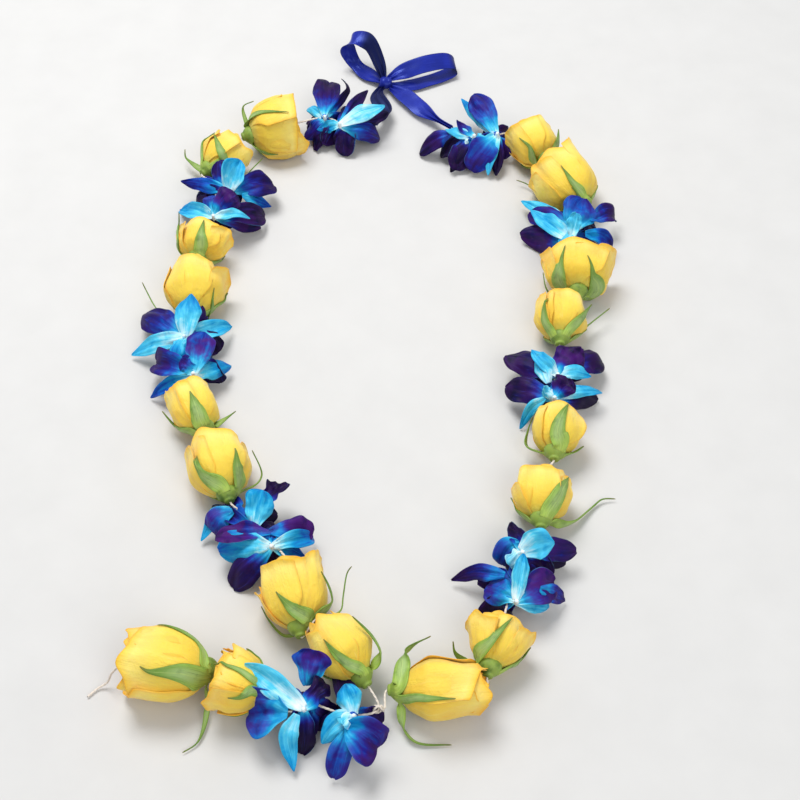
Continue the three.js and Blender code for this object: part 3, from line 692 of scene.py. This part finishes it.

# ---------------------------------------------------------------- dyed orchids
# Eighteen dendrobium blossoms, dyed blue through the stem: white at the heart, then cyan, blue and
# a violet that is nearly black at the tips. Each has narrow sepals, broad petals and mostly a small
# ruffled lip round a white column, with darker ones below that are painted dark as the shade under
# it, and is threaded through its ovary.

# for each blossom the place of its ovary in millimetres, and where the photograph shows its heart in
# pixels and the height in millimetres, then its parts: kind, tip, half width, arch and sway of the
# middle line in millimetres, tilt in degrees, how deep the dye and how violet it is at the tip, and
# the root where that isn't the heart. On the low parts that lie by the floor the darkest dye, 1.3 and
# more, is partly painted shade: those parts were laid where shade falls under the blossoms.
ORCHIDS = {
    "left_orchid_1": ((-29, 193), (340, 125, 21), [
        ("sepal", (384, 108, 24), 6.3, 6, -1.5, 0, 0.36, 0),
        ("petal", (385, 136, 7), 9.5, 7, 0, 0, 1, 0.25),
        ("sepal", (369, 89, 20), 4.5, 4, 0, 20, 1.3, 0.3),
        ("sepal", (321, 131, 12), 4.6, 3, 0, 0, 0.6, 0),
        ("petal", (346, 147, 2), 8, 4, 0, 0, 1.4, 0.2),
        ("petal", (389, 111, 15), 7.5, 3, 0, 0, 1.35, 0.2),
        ("lip", (348, 106, 15), 4, 4, 0, 0, 1.4, 0.1)]),
    "left_orchid_2": ((-44, 200), (325, 118, 20), [
        ("petal", (329, 77, 20), 10, 5, 0, 0, 1.25, 0.3),
        ("sepal", (352, 79, 22), 3.6, 3, -5, 70, 1.4, 0.1),
        ("sepal", (305, 108, 12), 4, 5, 0, 0, 0.5, 0),
        ("petal", (308, 139, 5), 7, 7, 0, 20, 1, 0.3),
        ("sepal", (305, 123, 8), 4.5, 3, 0, 10, 1.3, 0.6),
        ("lip", (315, 151, 2), 4, 3, 0, 0, 1.4, 0.2)]),
    "left_orchid_3": ((-116, 131), (229, 191, 21), [
        ("petal", (219, 159, 30), 9, 3, 0, -8, 1, 0.2),
        ("sepal", (240, 160, 33), 8.2, 5, 0, 8, 0.52, 0),
        ("petal", (276, 183, 13), 9.5, 5, 0, 10, 1.12, 0.15),
        ("sepal", (183, 183, 14), 5, 4, 0, 0, 0.95, 0),
        ("petal", (196, 203, 8), 6.5, 4, 0, 0, 1.4, 0.3),
        ("sepal", (268, 207, 3), 5, 4, 0, 0, 0.75, 0, (242, 196, 21))]),
    "left_orchid_4": ((-116, 110), (214, 217, 21), [
        ("sepal", (175, 206, 4), 4.6, 10, 3, 0, 0.62, 0),
        ("sepal", (180, 211, 12), 6, 4, 0, -5, 0.55, 0),
        ("petal", (212, 192, 29), 6.5, 3, 0, -15, 0.8, 0.4),
        ("petal", (236, 193, 32), 9.5, 5, 0, 5, 1.2, 0.8),
        ("sepal", (245, 214, 29), 4.2, 3, 0, 0, 0.4, 0),
        ("petal", (269, 217, 8), 8, 6, 0, 15, 1.35, 0.4),
        ("petal", (262, 227, 3), 6, 5, 0, 0, 1.2, 0.5)]),
    "left_orchid_5": ((-117, -4), (185, 337, 21), [
        ("sepal", (191, 294, 33), 8.2, 8, 0, 0, 0.58, 0),
        ("petal", (141, 314, 11), 9, 6, 0, -5, 1.08, 0.2),
        ("petal", (202, 300, 27), 7, 3, 0, 15, 1.2, 0.3),
        ("sepal", (132, 355, 3), 6.3, 9, 3, 0, 0.45, 0),
        ("sepal", (234, 325, 7), 6.5, 5, -2, 0, 0.5, 0),
        ("lip", (176, 358, 24), 6, 4, 0, 0, 0.6, 0)]),
    "left_orchid_6": ((-115, -26), (194, 374, 21), [
        ("petal", (205, 330, 30), 9, 4, 0, 8, 0.92, 0.8),
        ("petal", (154, 362, 10), 9, 6, 0, -5, 1.05, 0.4),
        ("sepal", (232, 366, 7), 6.5, 4, 0, 0, 0.62, 0),
        ("sepal", (150, 398, 2), 4.2, 6, 2, 0, 0.75, 0),
        ("sepal", (213, 331, 12), 5, 4, 0, 30, 1.3, 0.5, (195, 371, 21)),
        ("lip", (181, 360, 26), 5, 3, 0, 0, 0.9, 0.5)]),
    "left_orchid_7": ((-78, -137), (254, 529, 21), [
        ("petal", (263, 489, 30), 8, 4, 0, 0, 0.6, 0),
        ("lip", (278, 486, 17), 6, 3, 0, 0, 1.35, 0.2, (264, 504, 21)),
        ("sepal", (210, 508, 6), 4.4, 5, 0, 0, 1.35, 0.1),
        ("sepal", (203, 539, 2), 4.4, 9, -6, 0, 0.5, 0, (231, 510, 21)),
        ("petal", (209, 536, 9), 7.5, 7, -3, 0, 0.9, 0.6, (233, 511, 21)),
        ("petal", (238, 523, 8), 5, 2, 0, 0, 0.9, 0)]),
    "left_orchid_8": ((-65, -152), (272, 546, 21), [
        ("petal", (215, 538, 20), 6.5, 5, 0, 15, 1.2, 0.9, (273, 532, 21)),
        ("petal", (314, 533, 13), 8, 5, 0, -10, 1.2, 0.9, (269, 532, 21)),
        ("sepal", (321, 537, 8), 5, 5, 0, 0, 0.7, 0),
        ("petal", (216, 551, 13), 9.5, 8, 0, 0, 0.62, 0),
        ("petal", (229, 591, 2), 8.5, 7, 0, 0, 1.2, 0.2),
        ("sepal", (302, 556, 7), 5.5, 4, 0, 0, 0.72, 0),
        ("lip", (275, 539, 14), 3, 3, 0, 0, 0.9, 0)]),
    "right_orchid_1": ((56, 176), (474, 137, 20), [
        ("petal", (418, 154, 3), 7, 9, 0, 0, 1.25, 0.3, (453, 133, 20)),
        ("sepal", (446, 131, 21), 4.8, 4, 0, 0, 0.4, 0),
        ("sepal", (456, 123, 25), 4.2, 3, 0, 25, 1, 0.4),
        ("sepal", (450, 173, 2), 5.5, 6, 0, 0, 1.4, 0.1),
        ("petal", (440, 156, 3), 6, 5, 0, 0, 1.45, 0.1),
        ("lip", (456, 144, 12), 3.5, 3, 0, 0, 0.25, 0, (468, 140, 20))]),
    "right_orchid_2": ((77, 181), (497, 135, 20), [
        ("petal", (472, 96, 26), 9, 6, 0, -10, 0.95, 0.3),
        ("sepal", (463, 103, 16), 6, 6, 0, 0, 0.5, 0),
        ("sepal", (495, 100, 18), 3, 2, 3, 65, 1.45, 0.1),
        ("petal", (471, 171, 6), 10.5, 8, 0, 5, 0.98, 0.2),
        ("sepal", (487, 175, 5), 5, 7, 0, 20, 0.5, 0),
        ("sepal", (496, 176, 2), 5.5, 5, 0, 0, 1.4, 0.2),
        ("lip", (477, 143, 16), 4, 3, 0, 0, 0.6, 0, (483, 135, 20))]),
    "right_orchid_3": ((127, 96), (573, 231, 20), [
        ("petal", (528, 212, 15), 8.5, 6, 0, -5, 1, 0.4),
        ("sepal", (520, 199, 9), 6, 5, 0, 0, 0.42, 0),
        ("petal", (584, 197, 28), 12, 4, 0, 0, 0.85, 0.3),
        ("sepal", (588, 193, 9), 7, 4, 0, 0, 0.45, 0),
        ("petal", (619, 212, 12), 7.5, 4, 0, 0, 1.2, 0.3, (590, 220, 20)),
        ("lip", (566, 245, 22), 4, 3, 0, 0, 0.4, 0)]),
    "right_orchid_4": ((125, 83), (571, 240, 21), [
        ("sepal", (531, 211, 22), 6.5, 6, 2, 0, 0.48, 0),
        ("petal", (522, 237, 5), 10, 7, 0, 0, 1.2, 0.5),
        ("sepal", (615, 251, 2), 6, 6, 2, 0, 1, 0, (585, 234, 21)),
        ("petal", (577, 213, 32), 5, 3, 0, 0, 0.45, 0.1),
        ("lip", (561, 247, 20), 4, 3, 0, 0, 0.5, 0)]),
    "right_orchid_5": ((105, -29), (557, 375, 20), [
        ("petal", (507, 358, 13), 9.5, 6, 0, 0, 1.3, 0.4),
        ("sepal", (537, 355, 25), 5, 3, 0, 0, 0.4, 0, (549, 383, 20)),
        ("sepal", (532, 351, 24), 5, 6, 4, 0, 0.52, 0),
        ("petal", (580, 350, 23), 10.5, 4, 0, 5, 1.35, 0.8),
        ("petal", (605, 360, 9), 8.5, 5, 0, 0, 1.35, 0.3, (572, 365, 20)),
        ("sepal", (593, 376, 15), 5, 8, 0, 0, 0.5, 0)]),
    "right_orchid_6": ((103, -47), (554, 398, 20), [
        ("petal", (504, 388, 12), 8.5, 6, 0, 0, 1.3, 0.3),
        ("petal", (568, 378, 28), 8.5, 4, 0, -25, 1.35, 0.5),
        ("sepal", (607, 391, 13), 3.8, 5, 2, 0, 0.5, 0),
        ("sepal", (519, 431, 2), 3.6, 8, -3, 0, 0.55, 0, (545, 398, 20)),
        ("petal", (600, 400, 3), 7, 6, 0, 0, 1.4, 0.1),
        ("lip", (543, 390, 24), 4, 3, 0, 0, 0.35, 0)]),
    "right_orchid_7": ((81, -161), (522, 552, 20), [
        ("sepal", (554, 542, 31), 8.8, 7, 0, 0, 0.5, 0),
        ("sepal", (511, 524, 13), 5, 4, 0, 0, 1.35, 0.2),
        ("petal", (501, 567, 9), 7, 8, -4, 0, 0.85, 0.3, (520, 543, 20)),
        ("petal", (576, 551, 14), 7, 6, 0, 0, 1.15, 0.3),
        ("petal", (569, 564, 8), 6.5, 5, 0, 0, 1.4, 0.1),
        ("lip", (509, 566, 20), 5, 3, 0, 0, 0.3, 0)]),
    "right_orchid_8": ((71, -183), (516, 601, 21), [
        ("sepal", (525, 551, 33), 4.8, 4, 0, 0, 0.5, 0),
        ("sepal", (452, 580, 4), 5, 7, -3, 0, 1.15, 0.2, (505, 575, 21)),
        ("petal", (482, 587, 13), 8, 6, 0, 0, 0.85, 0.4),
        ("petal", (484, 612, 3), 6, 5, 0, 0, 1.35, 0.3),
        ("petal", (558, 582, 15), 10, 5, 0, 0, 1.12, 0.8),
        ("sepal", (567, 601, 3), 5, 6, -2, 0, 1, 0.3, (540, 589, 21)),
        ("sepal", (554, 608, 5), 6.5, 5, 0, 0, 0.5, 0)]),
    "pendant_orchid_1": ((-36, -251), (304, 708, 21), [
        ("sepal", (246, 665, 29), 7, 5, 1.5, 0, 0.36, 0),
        ("petal", (249, 713, 13), 12, 5, 0, 0, 0.85, 0.4, (288, 713, 21)),
        ("sepal", (294, 768, 2), 5, 7, -7, 0, 0.5, 0, (297, 714, 21)),
        ("petal", (314, 650, 34), 10, 4, 0, 0, 0.95, 0.6, (307, 686, 21)),
        ("lip", (328, 680, 24), 6, 3, 0, 0, 1.35, 0.2),
        ("petal", (301, 756, 2), 7, 5, 0, 0, 1.45, 0.1)]),
    "pendant_orchid_2": ((-15, -258), (354, 715, 21), [
        ("sepal", (321, 744, 14), 6.5, 6, -2, 0, 0.52, 0),
        ("sepal", (344, 681, 27), 6.5, 4, 0, 0, 0.55, 0),
        ("petal", (333, 780, 3), 6.2, 7, 0, 0, 0.88, 0.3, (348, 728, 21)),
        ("petal", (379, 749, 12), 11, 6, 0, 0, 1, 0.5, (346, 725, 21)),
        ("sepal", (335, 662, 13), 6, 4, 0, 0, 1.45, 0.2),
        ("lip", (343, 725, 26), 4, 3, 0, 0, 0.3, 0)]),
}
OVARY_HEIGHT = 17         # mm above the floor
PART_OUTLINES = {
    "petal": [(0, 0.18), (0.15, 0.45), (0.38, 0.84), (0.6, 1.0), (0.8, 0.9), (0.93, 0.6), (1, 0.2)],
    "sepal": [(0, 0.34), (0.2, 0.74), (0.45, 1.0), (0.7, 0.82), (0.88, 0.44), (1, 0.06)],
    "lip": [(0, 0.3), (0.25, 0.85), (0.5, 0.7), (0.78, 1.0), (1, 0.4)],
}
RUFFLES = {"petal": 3.3, "sepal": 2.0, "lip": 2.8}       # mm at the edge
DYE_ALONG = [(0, 0.10), (0.18, 0.42), (0.5, 0.84), (1, 1.06)]
COVERED_DYE = 0.6         # the least dye of a part whose root isn't the white heart
FACING = Vector((0, -0.45, 0.9))         # the way that the parts' faces look before they are tilted
TEPAL_CELLS = (10, 18)
TEPAL_THICKNESS = 0.55
CREASE_DEPTH = 0.7        # mm, along the middle of each part
SHADED_BACK_TEPALS = 4           # dark ones that fold down to the floor behind the others, painted dark as the shade under the blossom
COLUMN = [(0, 0), (1.2, 0.2), (1.3, 2.0), (0.95, 4.0), (1.15, 5.2), (0.8, 6.2), (0, 6.5)]
COLUMN_ENDS = (Vector((0, 0, -2)), Vector((0, -3, 6)))   # mm from the heart
COVERED_HEARTS = ["left_orchid_7"]       # their columns lie under the next blossom
OVARY = [(0, -8), (1.1, -7.7), (1.7, -4), (2.5, 0), (2.7, 3), (2.0, 5), (0, 5.6)]
OVARY_DYE = 0.8
STALK_SIDES = 12


def orchid_finish():
    material, shader, place, uv = new_finish(
        "orchid_dyed_blue", Subsurface_Weight=0.06, Subsurface_Radius=(0.2, 0.5, 1.0),
        Subsurface_Scale=0.002, Specular_IOR_Level=0.13)
    along, from_middle = uv.part(1), uv.part(0).from_middle()
    drift = place.stretch(50, 50, 50)
    veins = uv.stretch(22, 1.6, 1).plus(drift).clouds(1.0, detail=3, roughness=0.6)
    cloud = place.clouds(120, detail=3, distortion=0.6)
    streak = uv.stretch(7, 1.2, 1).plus(drift).clouds(1.0, detail=2)
    depth = place.painted("depth") + (cloud - 0.5) * 0.42 + (streak - 0.5) * 0.45
    depth = depth - veins.between(0.55, 0.8) * 0.12
    shade = (depth * 0.6).ramp(
        (0.0, rgb(236, 248, 250)), (0.09, rgb(190, 236, 248)), (0.20, rgb(84, 200, 232)),
        (0.33, rgb(16, 150, 206)), (0.45, rgb(12, 86, 182)), (0.54, rgb(18, 34, 136)),
        (0.62, rgb(22, 13, 84)), (0.75, rgb(10, 6, 44)), (1.0, rgb(6, 3, 22)))
    violet = place.painted("blush") * depth.between(0.45, 0.8) * cloud.between(0.3, 0.62)
    shade = (violet * 0.8).colour(shade, rgb(78, 24, 118))
    fine = veins.between(0.60, 0.74) * depth.between(0.5, 0.9) * along.between(0.0, 0.25)
    shade = (fine * 0.28).colour(shade, rgb(74, 84, 196))
    light_edge = from_middle.between(0.47, 0.5) * depth.between(0.3, 0.7) * streak.between(0.42, 0.62)
    shade = (light_edge * 0.35).colour(shade, rgb(84, 176, 236))
    shade.into(shader, "Base Color")
    (0.38 + cloud * 0.22).into(shader, "Roughness")
    (veins + streak * 0.6).bump(0.4, 0.0006).into(shader, "Normal")
    return material


def lay_tepal(bm, kind, root, tip, half_width, arch, sway, tilt, dye, violet, least_dye, seed):
    """One part of a blossom, cupped, twisted and ruffled as its seed says."""
    reach = tip - root
    flat_side = Vector((-reach.y, reach.x, 0)).normalized()
    middle = (root + tip) / 2 + Vector((0, 0, arch)) + flat_side * sway
    run = [(0, root), (0.5, (root + tip) / 4 + middle / 2), (1, tip)]
    cup = 1.1 * wave(1, seed) - 0.12
    curl = 9.0 * wave(2, 0, seed) - 1.5
    twist = 1.3 * wave(3, 0, 0, seed)
    keel = 0.6 * wave(5, seed, seed)
    hump = 6.0 * wave(6, seed, 0, seed)

    def place(u, v):
        ahead = heading(run, v, 0.03)
        towards = Matrix.Rotation(math.radians(tilt), 3, ahead) @ FACING
        side = ahead.cross(towards).normalized()
        face = side.cross(ahead)
        width = half_width * through(PART_OUTLINES[kind], v)
        width *= 1 + 0.22 * wave(seed, v * 4, u)
        rise = (cup * abs(u) ** 1.8 + keel * abs(u) + twist * u * v * v) * width
        rise += RUFFLES[kind] * abs(u) ** 2 * wave(seed + 4, v * 6.0, u * 1.2)
        rise += curl * max(0.0, (v - 0.66) / 0.34) ** 2
        rise -= CREASE_DEPTH * max(0.0, 1 - abs(u) * 4) * math.sin(math.pi * v)
        rise += 0.4 * wave(seed + 8, v * 2.6, u * 2.2) * width
        rise += hump * math.sin(math.pi * v) * v
        bend = 0.175 * u * u * width * (v - 0.5)
        return resting(through(run, v) + side * (u * width) + face * rise + ahead * bend)

    def paint(u, v):
        return dye * max(least_dye, through(DYE_ALONG, v)), violet

    lay_sheet(bm, TEPAL_CELLS, place, paint)


def ovary_place(name):
    """Where a blossom's ovary is, with the string through it."""
    return Vector((*ORCHIDS[name][0], OVARY_HEIGHT))


orchid_dyed_blue = orchid_finish()
for name, (_, heart_pixel, parts) in ORCHIDS.items():
    bm = new_shape()
    chance = random.Random(name)
    ovary, heart = ovary_place(name), seen_at(*heart_pixel)
    spin_round(bm, OVARY, axis_frame(ovary, heart), STALK_SIDES, OVARY_DYE)
    if name not in COVERED_HEARTS:
        spin_round(bm, COLUMN, axis_frame(*(heart + end for end in COLUMN_ENDS)), STALK_SIDES)
    for kind, tip, half_width, arch, sway, tilt, dye, violet, *own_root in parts:
        root = seen_at(*own_root[0]) if own_root else heart
        least_dye = COVERED_DYE if own_root else 0
        lay_tepal(bm, kind, root, seen_at(*tip), half_width, arch, sway, tilt, dye, violet, least_dye,
                  chance.uniform(0, 60))
    # Painted shade: dark tepals folded down behind, which darken the crevices under the blossom.
    first = chance.uniform(0, math.tau)
    for k in range(SHADED_BACK_TEPALS):
        turn = first + k * math.tau / SHADED_BACK_TEPALS + chance.uniform(-0.3, 0.3)
        tip = ovary + off_axis(chance.uniform(13, 18), turn, chance.uniform(2, 6) - OVARY_HEIGHT)
        lay_tepal(bm, "petal", ovary, tip, half_width=chance.uniform(6.5, 8.5), arch=5, sway=0,
                  tilt=chance.uniform(-30, 30), dye=chance.uniform(1.1, 1.5), violet=0.3,
                  least_dye=COVERED_DYE, seed=chance.uniform(0, 60))
    set_down(name, bm, orchid_dyed_blue, TEPAL_THICKNESS)

# ---------------------------------------------------------------- strings
# Two white cotton strings of three twisted plies, one through each strand's flowers. The left one
# goes on through the pendant and ends loose; the right one is tied round it at the pendant knot.

STRING_RADIUS = 0.65
PLIES = 3
PLY_OFFSET = 0.5          # parts of the string's radius
PLY_RADIUS = 0.56
PLY_SIDES = 6
TWIST = 7.0               # mm for one turn of the plies
STRING_STEP = 1.3
LEFT_TIE = (-7.2, 202.5, 9)
RIGHT_TIE = (48.2, 197.5, 9)
PENDANT_KNOT = (-1, -253, 13)
RIGHT_END = (3.2, 0, 0)   # mm from the pendant knot, where the right string comes to it
KNOT_TURN = (2.6, 0.9, 2.6)         # mm, the turns that it then takes
KNOT_STEPS = 18           # places on those turns, eight to a turn
LOOSE_END = [(-139, -232, 12), (-143, -234, 4), (-148, -236, 1.4), (-153, -241, 1.1)]
# two orchids, two roses and so on, from the bow down
STRAND = [f"{kind}_{k + j}" for k in (1, 3, 5, 7) for kind in ("orchid", "rose") for j in (0, 1)]
PENDANT = ["orchid_2", "orchid_1", "rose_2", "rose_1"]


def stations(strand, flowers):
    """Where a string goes through a strand's flowers. The pendant's roses have their bases first."""
    places = []
    for flower in flowers:
        name = f"{strand}_{flower}"
        if name in buds:
            ends = [buds[name].tip, buds[name].base]
            places += reversed(ends) if strand == "pendant" else ends
        else:
            places.append(ovary_place(name))
    return places


def string_finish():
    material, shader, place, uv = new_finish("cotton_string_white", Specular_IOR_Level=0.2)
    fibres = uv.stretch(3, 60, 1).plus(place.stretch(900, 900, 900)).clouds(1.0, detail=4)
    fibres.colour(rgb(214, 200, 184), rgb(248, 240, 228)).into(shader, "Base Color")
    (0.75 + fibres * 0.2).into(shader, "Roughness")
    fibres.bump(0.6, 0.0003).into(shader, "Normal")
    return material


def lay_string(bm, route):
    """The plies of a string along a route, each a tube that is closed at its ends."""
    stops = [Vector(place) for place in route]
    spans = distances(stops)
    run = list(zip(spans, stops))
    length = spans[-1]
    for ply in range(PLIES):

        def place(u, v):
            s = v * length
            ahead = heading(run, s, 0.5)
            side = ahead.cross(Vector((0, 0.2, 1))).normalized()
            rise = side.cross(ahead)

            def spoke(turn, part):
                return (side * math.cos(turn) + rise * math.sin(turn)) * part * STRING_RADIUS

            middle = through(run, s) + spoke(math.tau * (s / TWIST + ply / PLIES), PLY_OFFSET)
            return middle if v in (0, 1) else resting(middle + spoke(math.pi * u, PLY_RADIUS))

        made = lay_sheet(bm, (PLY_SIDES, int(length / STRING_STEP)), place)
        bmesh.ops.remove_doubles(bm, verts=made, dist=WELD)
    bmesh.ops.recalc_face_normals(bm, faces=bm.faces)


cotton_string_white = string_finish()
knot = Vector(PENDANT_KNOT)
left_route = [LEFT_TIE, *stations("left", STRAND), knot, *stations("pendant", PENDANT), *LOOSE_END]
right_route = [RIGHT_TIE, *stations("right", STRAND), knot + Vector(RIGHT_END)]
for step in range(KNOT_STEPS):
    turn = step * math.tau / 8
    right_route.append(knot + Vector((KNOT_TURN[0] * math.cos(turn), KNOT_TURN[1] * math.sin(step * 1.3),
                                      KNOT_TURN[2] * math.sin(turn))))
for name, route in (("string_left_and_pendant", left_route), ("string_right", right_route)):
    bm = new_shape()
    lay_string(bm, route)
    set_down(name, bm, cotton_string_white, smoothing=0)

# ---------------------------------------------------------------- ribbon bow
# Half-inch navy satin ribbon, tied in a bow of two loops. Its two legs come back to the strings,
# which are tied to them. It is soft, shines along its weave and is gathered where it is knotted.

RIBBON_WIDTH = 13
RIBBON_THICKNESS = 0.35
RIBBON_CELLS = 10         # faces across the ribbon
RIBBON_STEP = 2.2         # mm, the length of a face
LEAST_GATHERED = 0.25     # part of its width that a gathered ribbon keeps
PLEAT_DEPTH = 2.6         # mm, where it would be gathered to nothing
KNOT_MIDDLE = Vector((-1, 253, 6))
KNOT_RADII = (4.6, 4.4, 3.8)
KNOT_CELLS = (12, 24)
KNOT_WELD = 1e-3
KNOT_BAND_LENGTH = 27     # mm round the knot
# runs of ribbon: places on its middle line, the direction of its width there and the part of its
# width that is left where it is gathered
RIBBON_RUNS = {
    "left leg": [
        ((-7, 203, 9), (0.6, 0.5, 0.6), 0.4), ((0, 216, 8), (0.9, -0.1, 0.5), 0.8),
        ((-7, 236, 7), (0.9, 0.2, 0.4), 0.85), ((-2.5, 251, 4), (0.9, -0.1, 0.2), 0.3)],
    "right leg": [
        ((48, 198, 9), (0.3, 0.7, 0.6), 0.25), ((38, 208, 8), (0.4, 0.6, 0.7), 0.3),
        ((26, 222, 6), (0.7, 0.6, 0.3), 0.95), ((13, 239, 6), (0.75, 0.6, 0.2), 1.0),
        ((2, 250, 4), (0.8, 0.5, 0.2), 0.35)],
    "left loop": [
        ((-2, 255, 8), (0.8, 0.5, 0.3), 0.35), ((-6, 264, 17), (0.65, 0.1, 0.75), 0.8),
        ((-12, 274, 25), (0.6, 0.2, 0.75), 0.95), ((-18, 279, 26), (0.4, 0.75, 0.5), 1.0),
        ((-25.5, 281, 25), (0.05, 0.95, 0.1), 1.0), ((-29.5, 280, 17), (0.85, 0.5, 0.1), 1.0),
        ((-27, 279, 9), (0.95, 0.3, 0.1), 0.85), ((-22.5, 275, 4.5), (0.75, 0.65, 0.1), 0.8),
        ((-14, 266, 3.5), (0.65, 0.75, 0.15), 1.0), ((-3, 255, 5), (0.6, 0.75, 0.1), 0.35)],
    "right loop": [
        ((1, 254, 8), (0.1, 0.9, 0.4), 0.35), ((13, 260, 11), (-0.3, 0.8, 0.5), 0.95),
        ((29, 265, 14), (-0.2, 0.8, 0.55), 1.0), ((45, 270, 13), (-0.15, 0.85, 0.45), 1.0),
        ((51.5, 272, 9), (-0.1, 1.0, 0.15), 1.0), ((51, 271, 3.5), (-0.2, 1.0, 0.0), 1.0),
        ((42, 265.5, 2.2), (-0.4, 0.9, 0.0), 1.0), ((30, 259.5, 2.2), (-0.45, 0.88, 0.0), 1.0),
        ((18, 254, 3), (-0.2, 0.95, 0.1), 0.9), ((2, 252, 5), (0.1, 0.9, 0.2), 0.35)],
}
# from where to where a run, from 0 at its start to 1, turns up the ribbon's dull back, which is
# painted nearly black there as shade
RIBBON_SHADED_BACKS = {"left leg": (0, 1), "left loop": (0, 0.36), "right loop": (0.46, 0.54)}
SHADED_BACK_BLEND = 0.03         # part of a run on either side of those, where the painted shade of the back fades


def satin_finish():
    material, shader, place, uv = new_finish(
        "satin_navy", Specular_IOR_Level=0.55, Specular_Tint=rgb(140, 165, 255), Anisotropic=0.5)
    threads = (place.painted("depth") * 3200).math("SINE") * 0.5 + 0.5
    back = place.painted("blush")
    slubs = uv.stretch(60, 1.5, 1).plus(place.stretch(200, 200, 200)).clouds(1.0, detail=3)
    cloud = place.clouds(90, detail=2)
    selvedge = uv.part(0).from_middle().between(0.46, 0.49)
    satin = (cloud * 0.6 + slubs * 0.4).colour(rgb(10, 10, 72), rgb(42, 58, 186))
    # Painted shade: nearly black on the stretches where the ribbon's dull back shows, which lie in shade.
    satin = (back * 0.92).colour(satin, rgb(5, 5, 38))
    satin = (selvedge * 0.7).colour(satin, rgb(8, 8, 56))
    satin.into(shader, "Base Color")
    (0.2 + slubs * 0.12 + (selvedge + back) * 0.2).into(shader, "Roughness")
    (threads * 0.5 + slubs).bump(0.18, 0.0002).into(shader, "Normal")
    return material


def lay_ribbon(bm, run, back, seed):
    """One run of ribbon, whose dull back, painted dark as shade, shows from back[0] to back[1] if anywhere.
    """
    places, widths, gathers = zip(*run)
    places = [Vector(place) for place in places]
    spans = distances(places)
    length = spans[-1]
    middle_line = list(zip(spans, places))
    width_line = [(span, Vector(width).normalized()) for span, width in zip(spans, widths)]
    gather_line = list(zip(spans, gathers))

    def place(u, v):
        s = v * length
        ahead = heading(middle_line, s, 0.5)
        across = through(width_line, s)
        across = (across - ahead * across.dot(ahead)).normalized()
        face = across.cross(ahead)
        kept = min(1.0, max(LEAST_GATHERED, through(gather_line, s)))
        pleat = PLEAT_DEPTH * (1 - kept) * math.cos(u * math.pi * 2.2 + seed)
        soft = 0.5 * wave(seed, s * 0.08, u * 0.8) + 0.25 * (u * u - 0.3)
        half_width = RIBBON_WIDTH / 2 * kept
        return resting(through(middle_line, s) + across * (u * half_width) + face * (pleat + soft))

    def paint(u, v):
        inside = min(v - back[0], back[1] - v) if back else -1
        return v * length * MM, max(0, min(1, (inside + SHADED_BACK_BLEND) / (2 * SHADED_BACK_BLEND)))

    lay_sheet(bm, (RIBBON_CELLS, max(12, int(length / RIBBON_STEP))), place, paint)


def knot_band(u, v):
    """The turn of ribbon round the bow's knot, pinched at its two sides."""
    turn = math.tau * v
    swell = math.sqrt(1 - (0.9 * u) ** 4)
    swell *= 1 + 0.06 * math.cos(u * 5 + 1.6 * math.sin(turn)) + 0.05 * math.sin(turn * 2 + u)
    return resting(KNOT_MIDDLE + Vector((u * KNOT_RADII[0] + 0.5 * math.sin(turn),
                                         KNOT_RADII[1] * swell * math.cos(turn),
                                         KNOT_RADII[2] * swell * math.sin(turn))))


satin_navy = satin_finish()
bm = new_shape()
for seed, (name, run) in enumerate(RIBBON_RUNS.items()):
    lay_ribbon(bm, run, RIBBON_SHADED_BACKS.get(name), seed)
band = lay_sheet(bm, KNOT_CELLS, knot_band, lambda u, v: (v * KNOT_BAND_LENGTH * MM, 0))
bmesh.ops.remove_doubles(bm, verts=band, dist=KNOT_WELD)
bow = set_down("ribbon_bow", bm, satin_navy, RIBBON_THICKNESS)

# ---------------------------------------------------------------- floor and light
# A plain pale floor and plain soft studio light: a wide lamp above and a little behind the lei, as
# the photograph's small soft shadows show, a weaker one in front and an even light from all round.

FLOOR_HALF_SIDE = 3       # metres, as are the lamps' places and sizes
SKY_COLOUR = (0.95, 0.97, 1.0, 1)
SKY_STRENGTH = 0.55


def soft_lamp(name, at, size, power):
    """A round lamp of so many watts that shines on the middle of the lei."""
    lamp = bpy.data.lights.new(name, "AREA")
    lamp.shape, lamp.size, lamp.energy = "DISK", size, power
    lamp_object = bpy.data.objects.new(name, lamp)
    lamp_object.location = at
    lamp_object.rotation_euler = (-Vector(at)).to_track_quat("-Z", "Y").to_euler()
    bpy.context.collection.objects.link(lamp_object)


floor_bm = bmesh.new()
bmesh.ops.create_grid(floor_bm, x_segments=1, y_segments=1, size=FLOOR_HALF_SIDE)
floor_mesh = bpy.data.meshes.new("floor")
floor_bm.to_mesh(floor_mesh)
floor_bm.free()
floor = bpy.data.objects.new("floor", floor_mesh)
bpy.context.collection.objects.link(floor)
floor_pale, shader, place, _ = new_finish("floor_pale", Roughness=0.9, Specular_IOR_Level=0.1)
shade = place.clouds(30, detail=4).colour(rgb(205, 204, 202), rgb(214, 213, 211))
shade.into(shader, "Base Color")
floor_mesh.materials.append(floor_pale)

soft_lamp("key_lamp", at=(-0.35, 0.55, 1.5), size=0.9, power=22)
soft_lamp("front_lamp", at=(0.7, -1.2, 1.3), size=1.2, power=9)
world = bpy.data.worlds.new("studio")
world.use_nodes = True
background = world.node_tree.nodes["Background"]
background.inputs["Color"].default_value = SKY_COLOUR
background.inputs["Strength"].default_value = SKY_STRENGTH
bpy.context.scene.world = world
bpy.context.scene.view_settings.view_transform = "Standard"
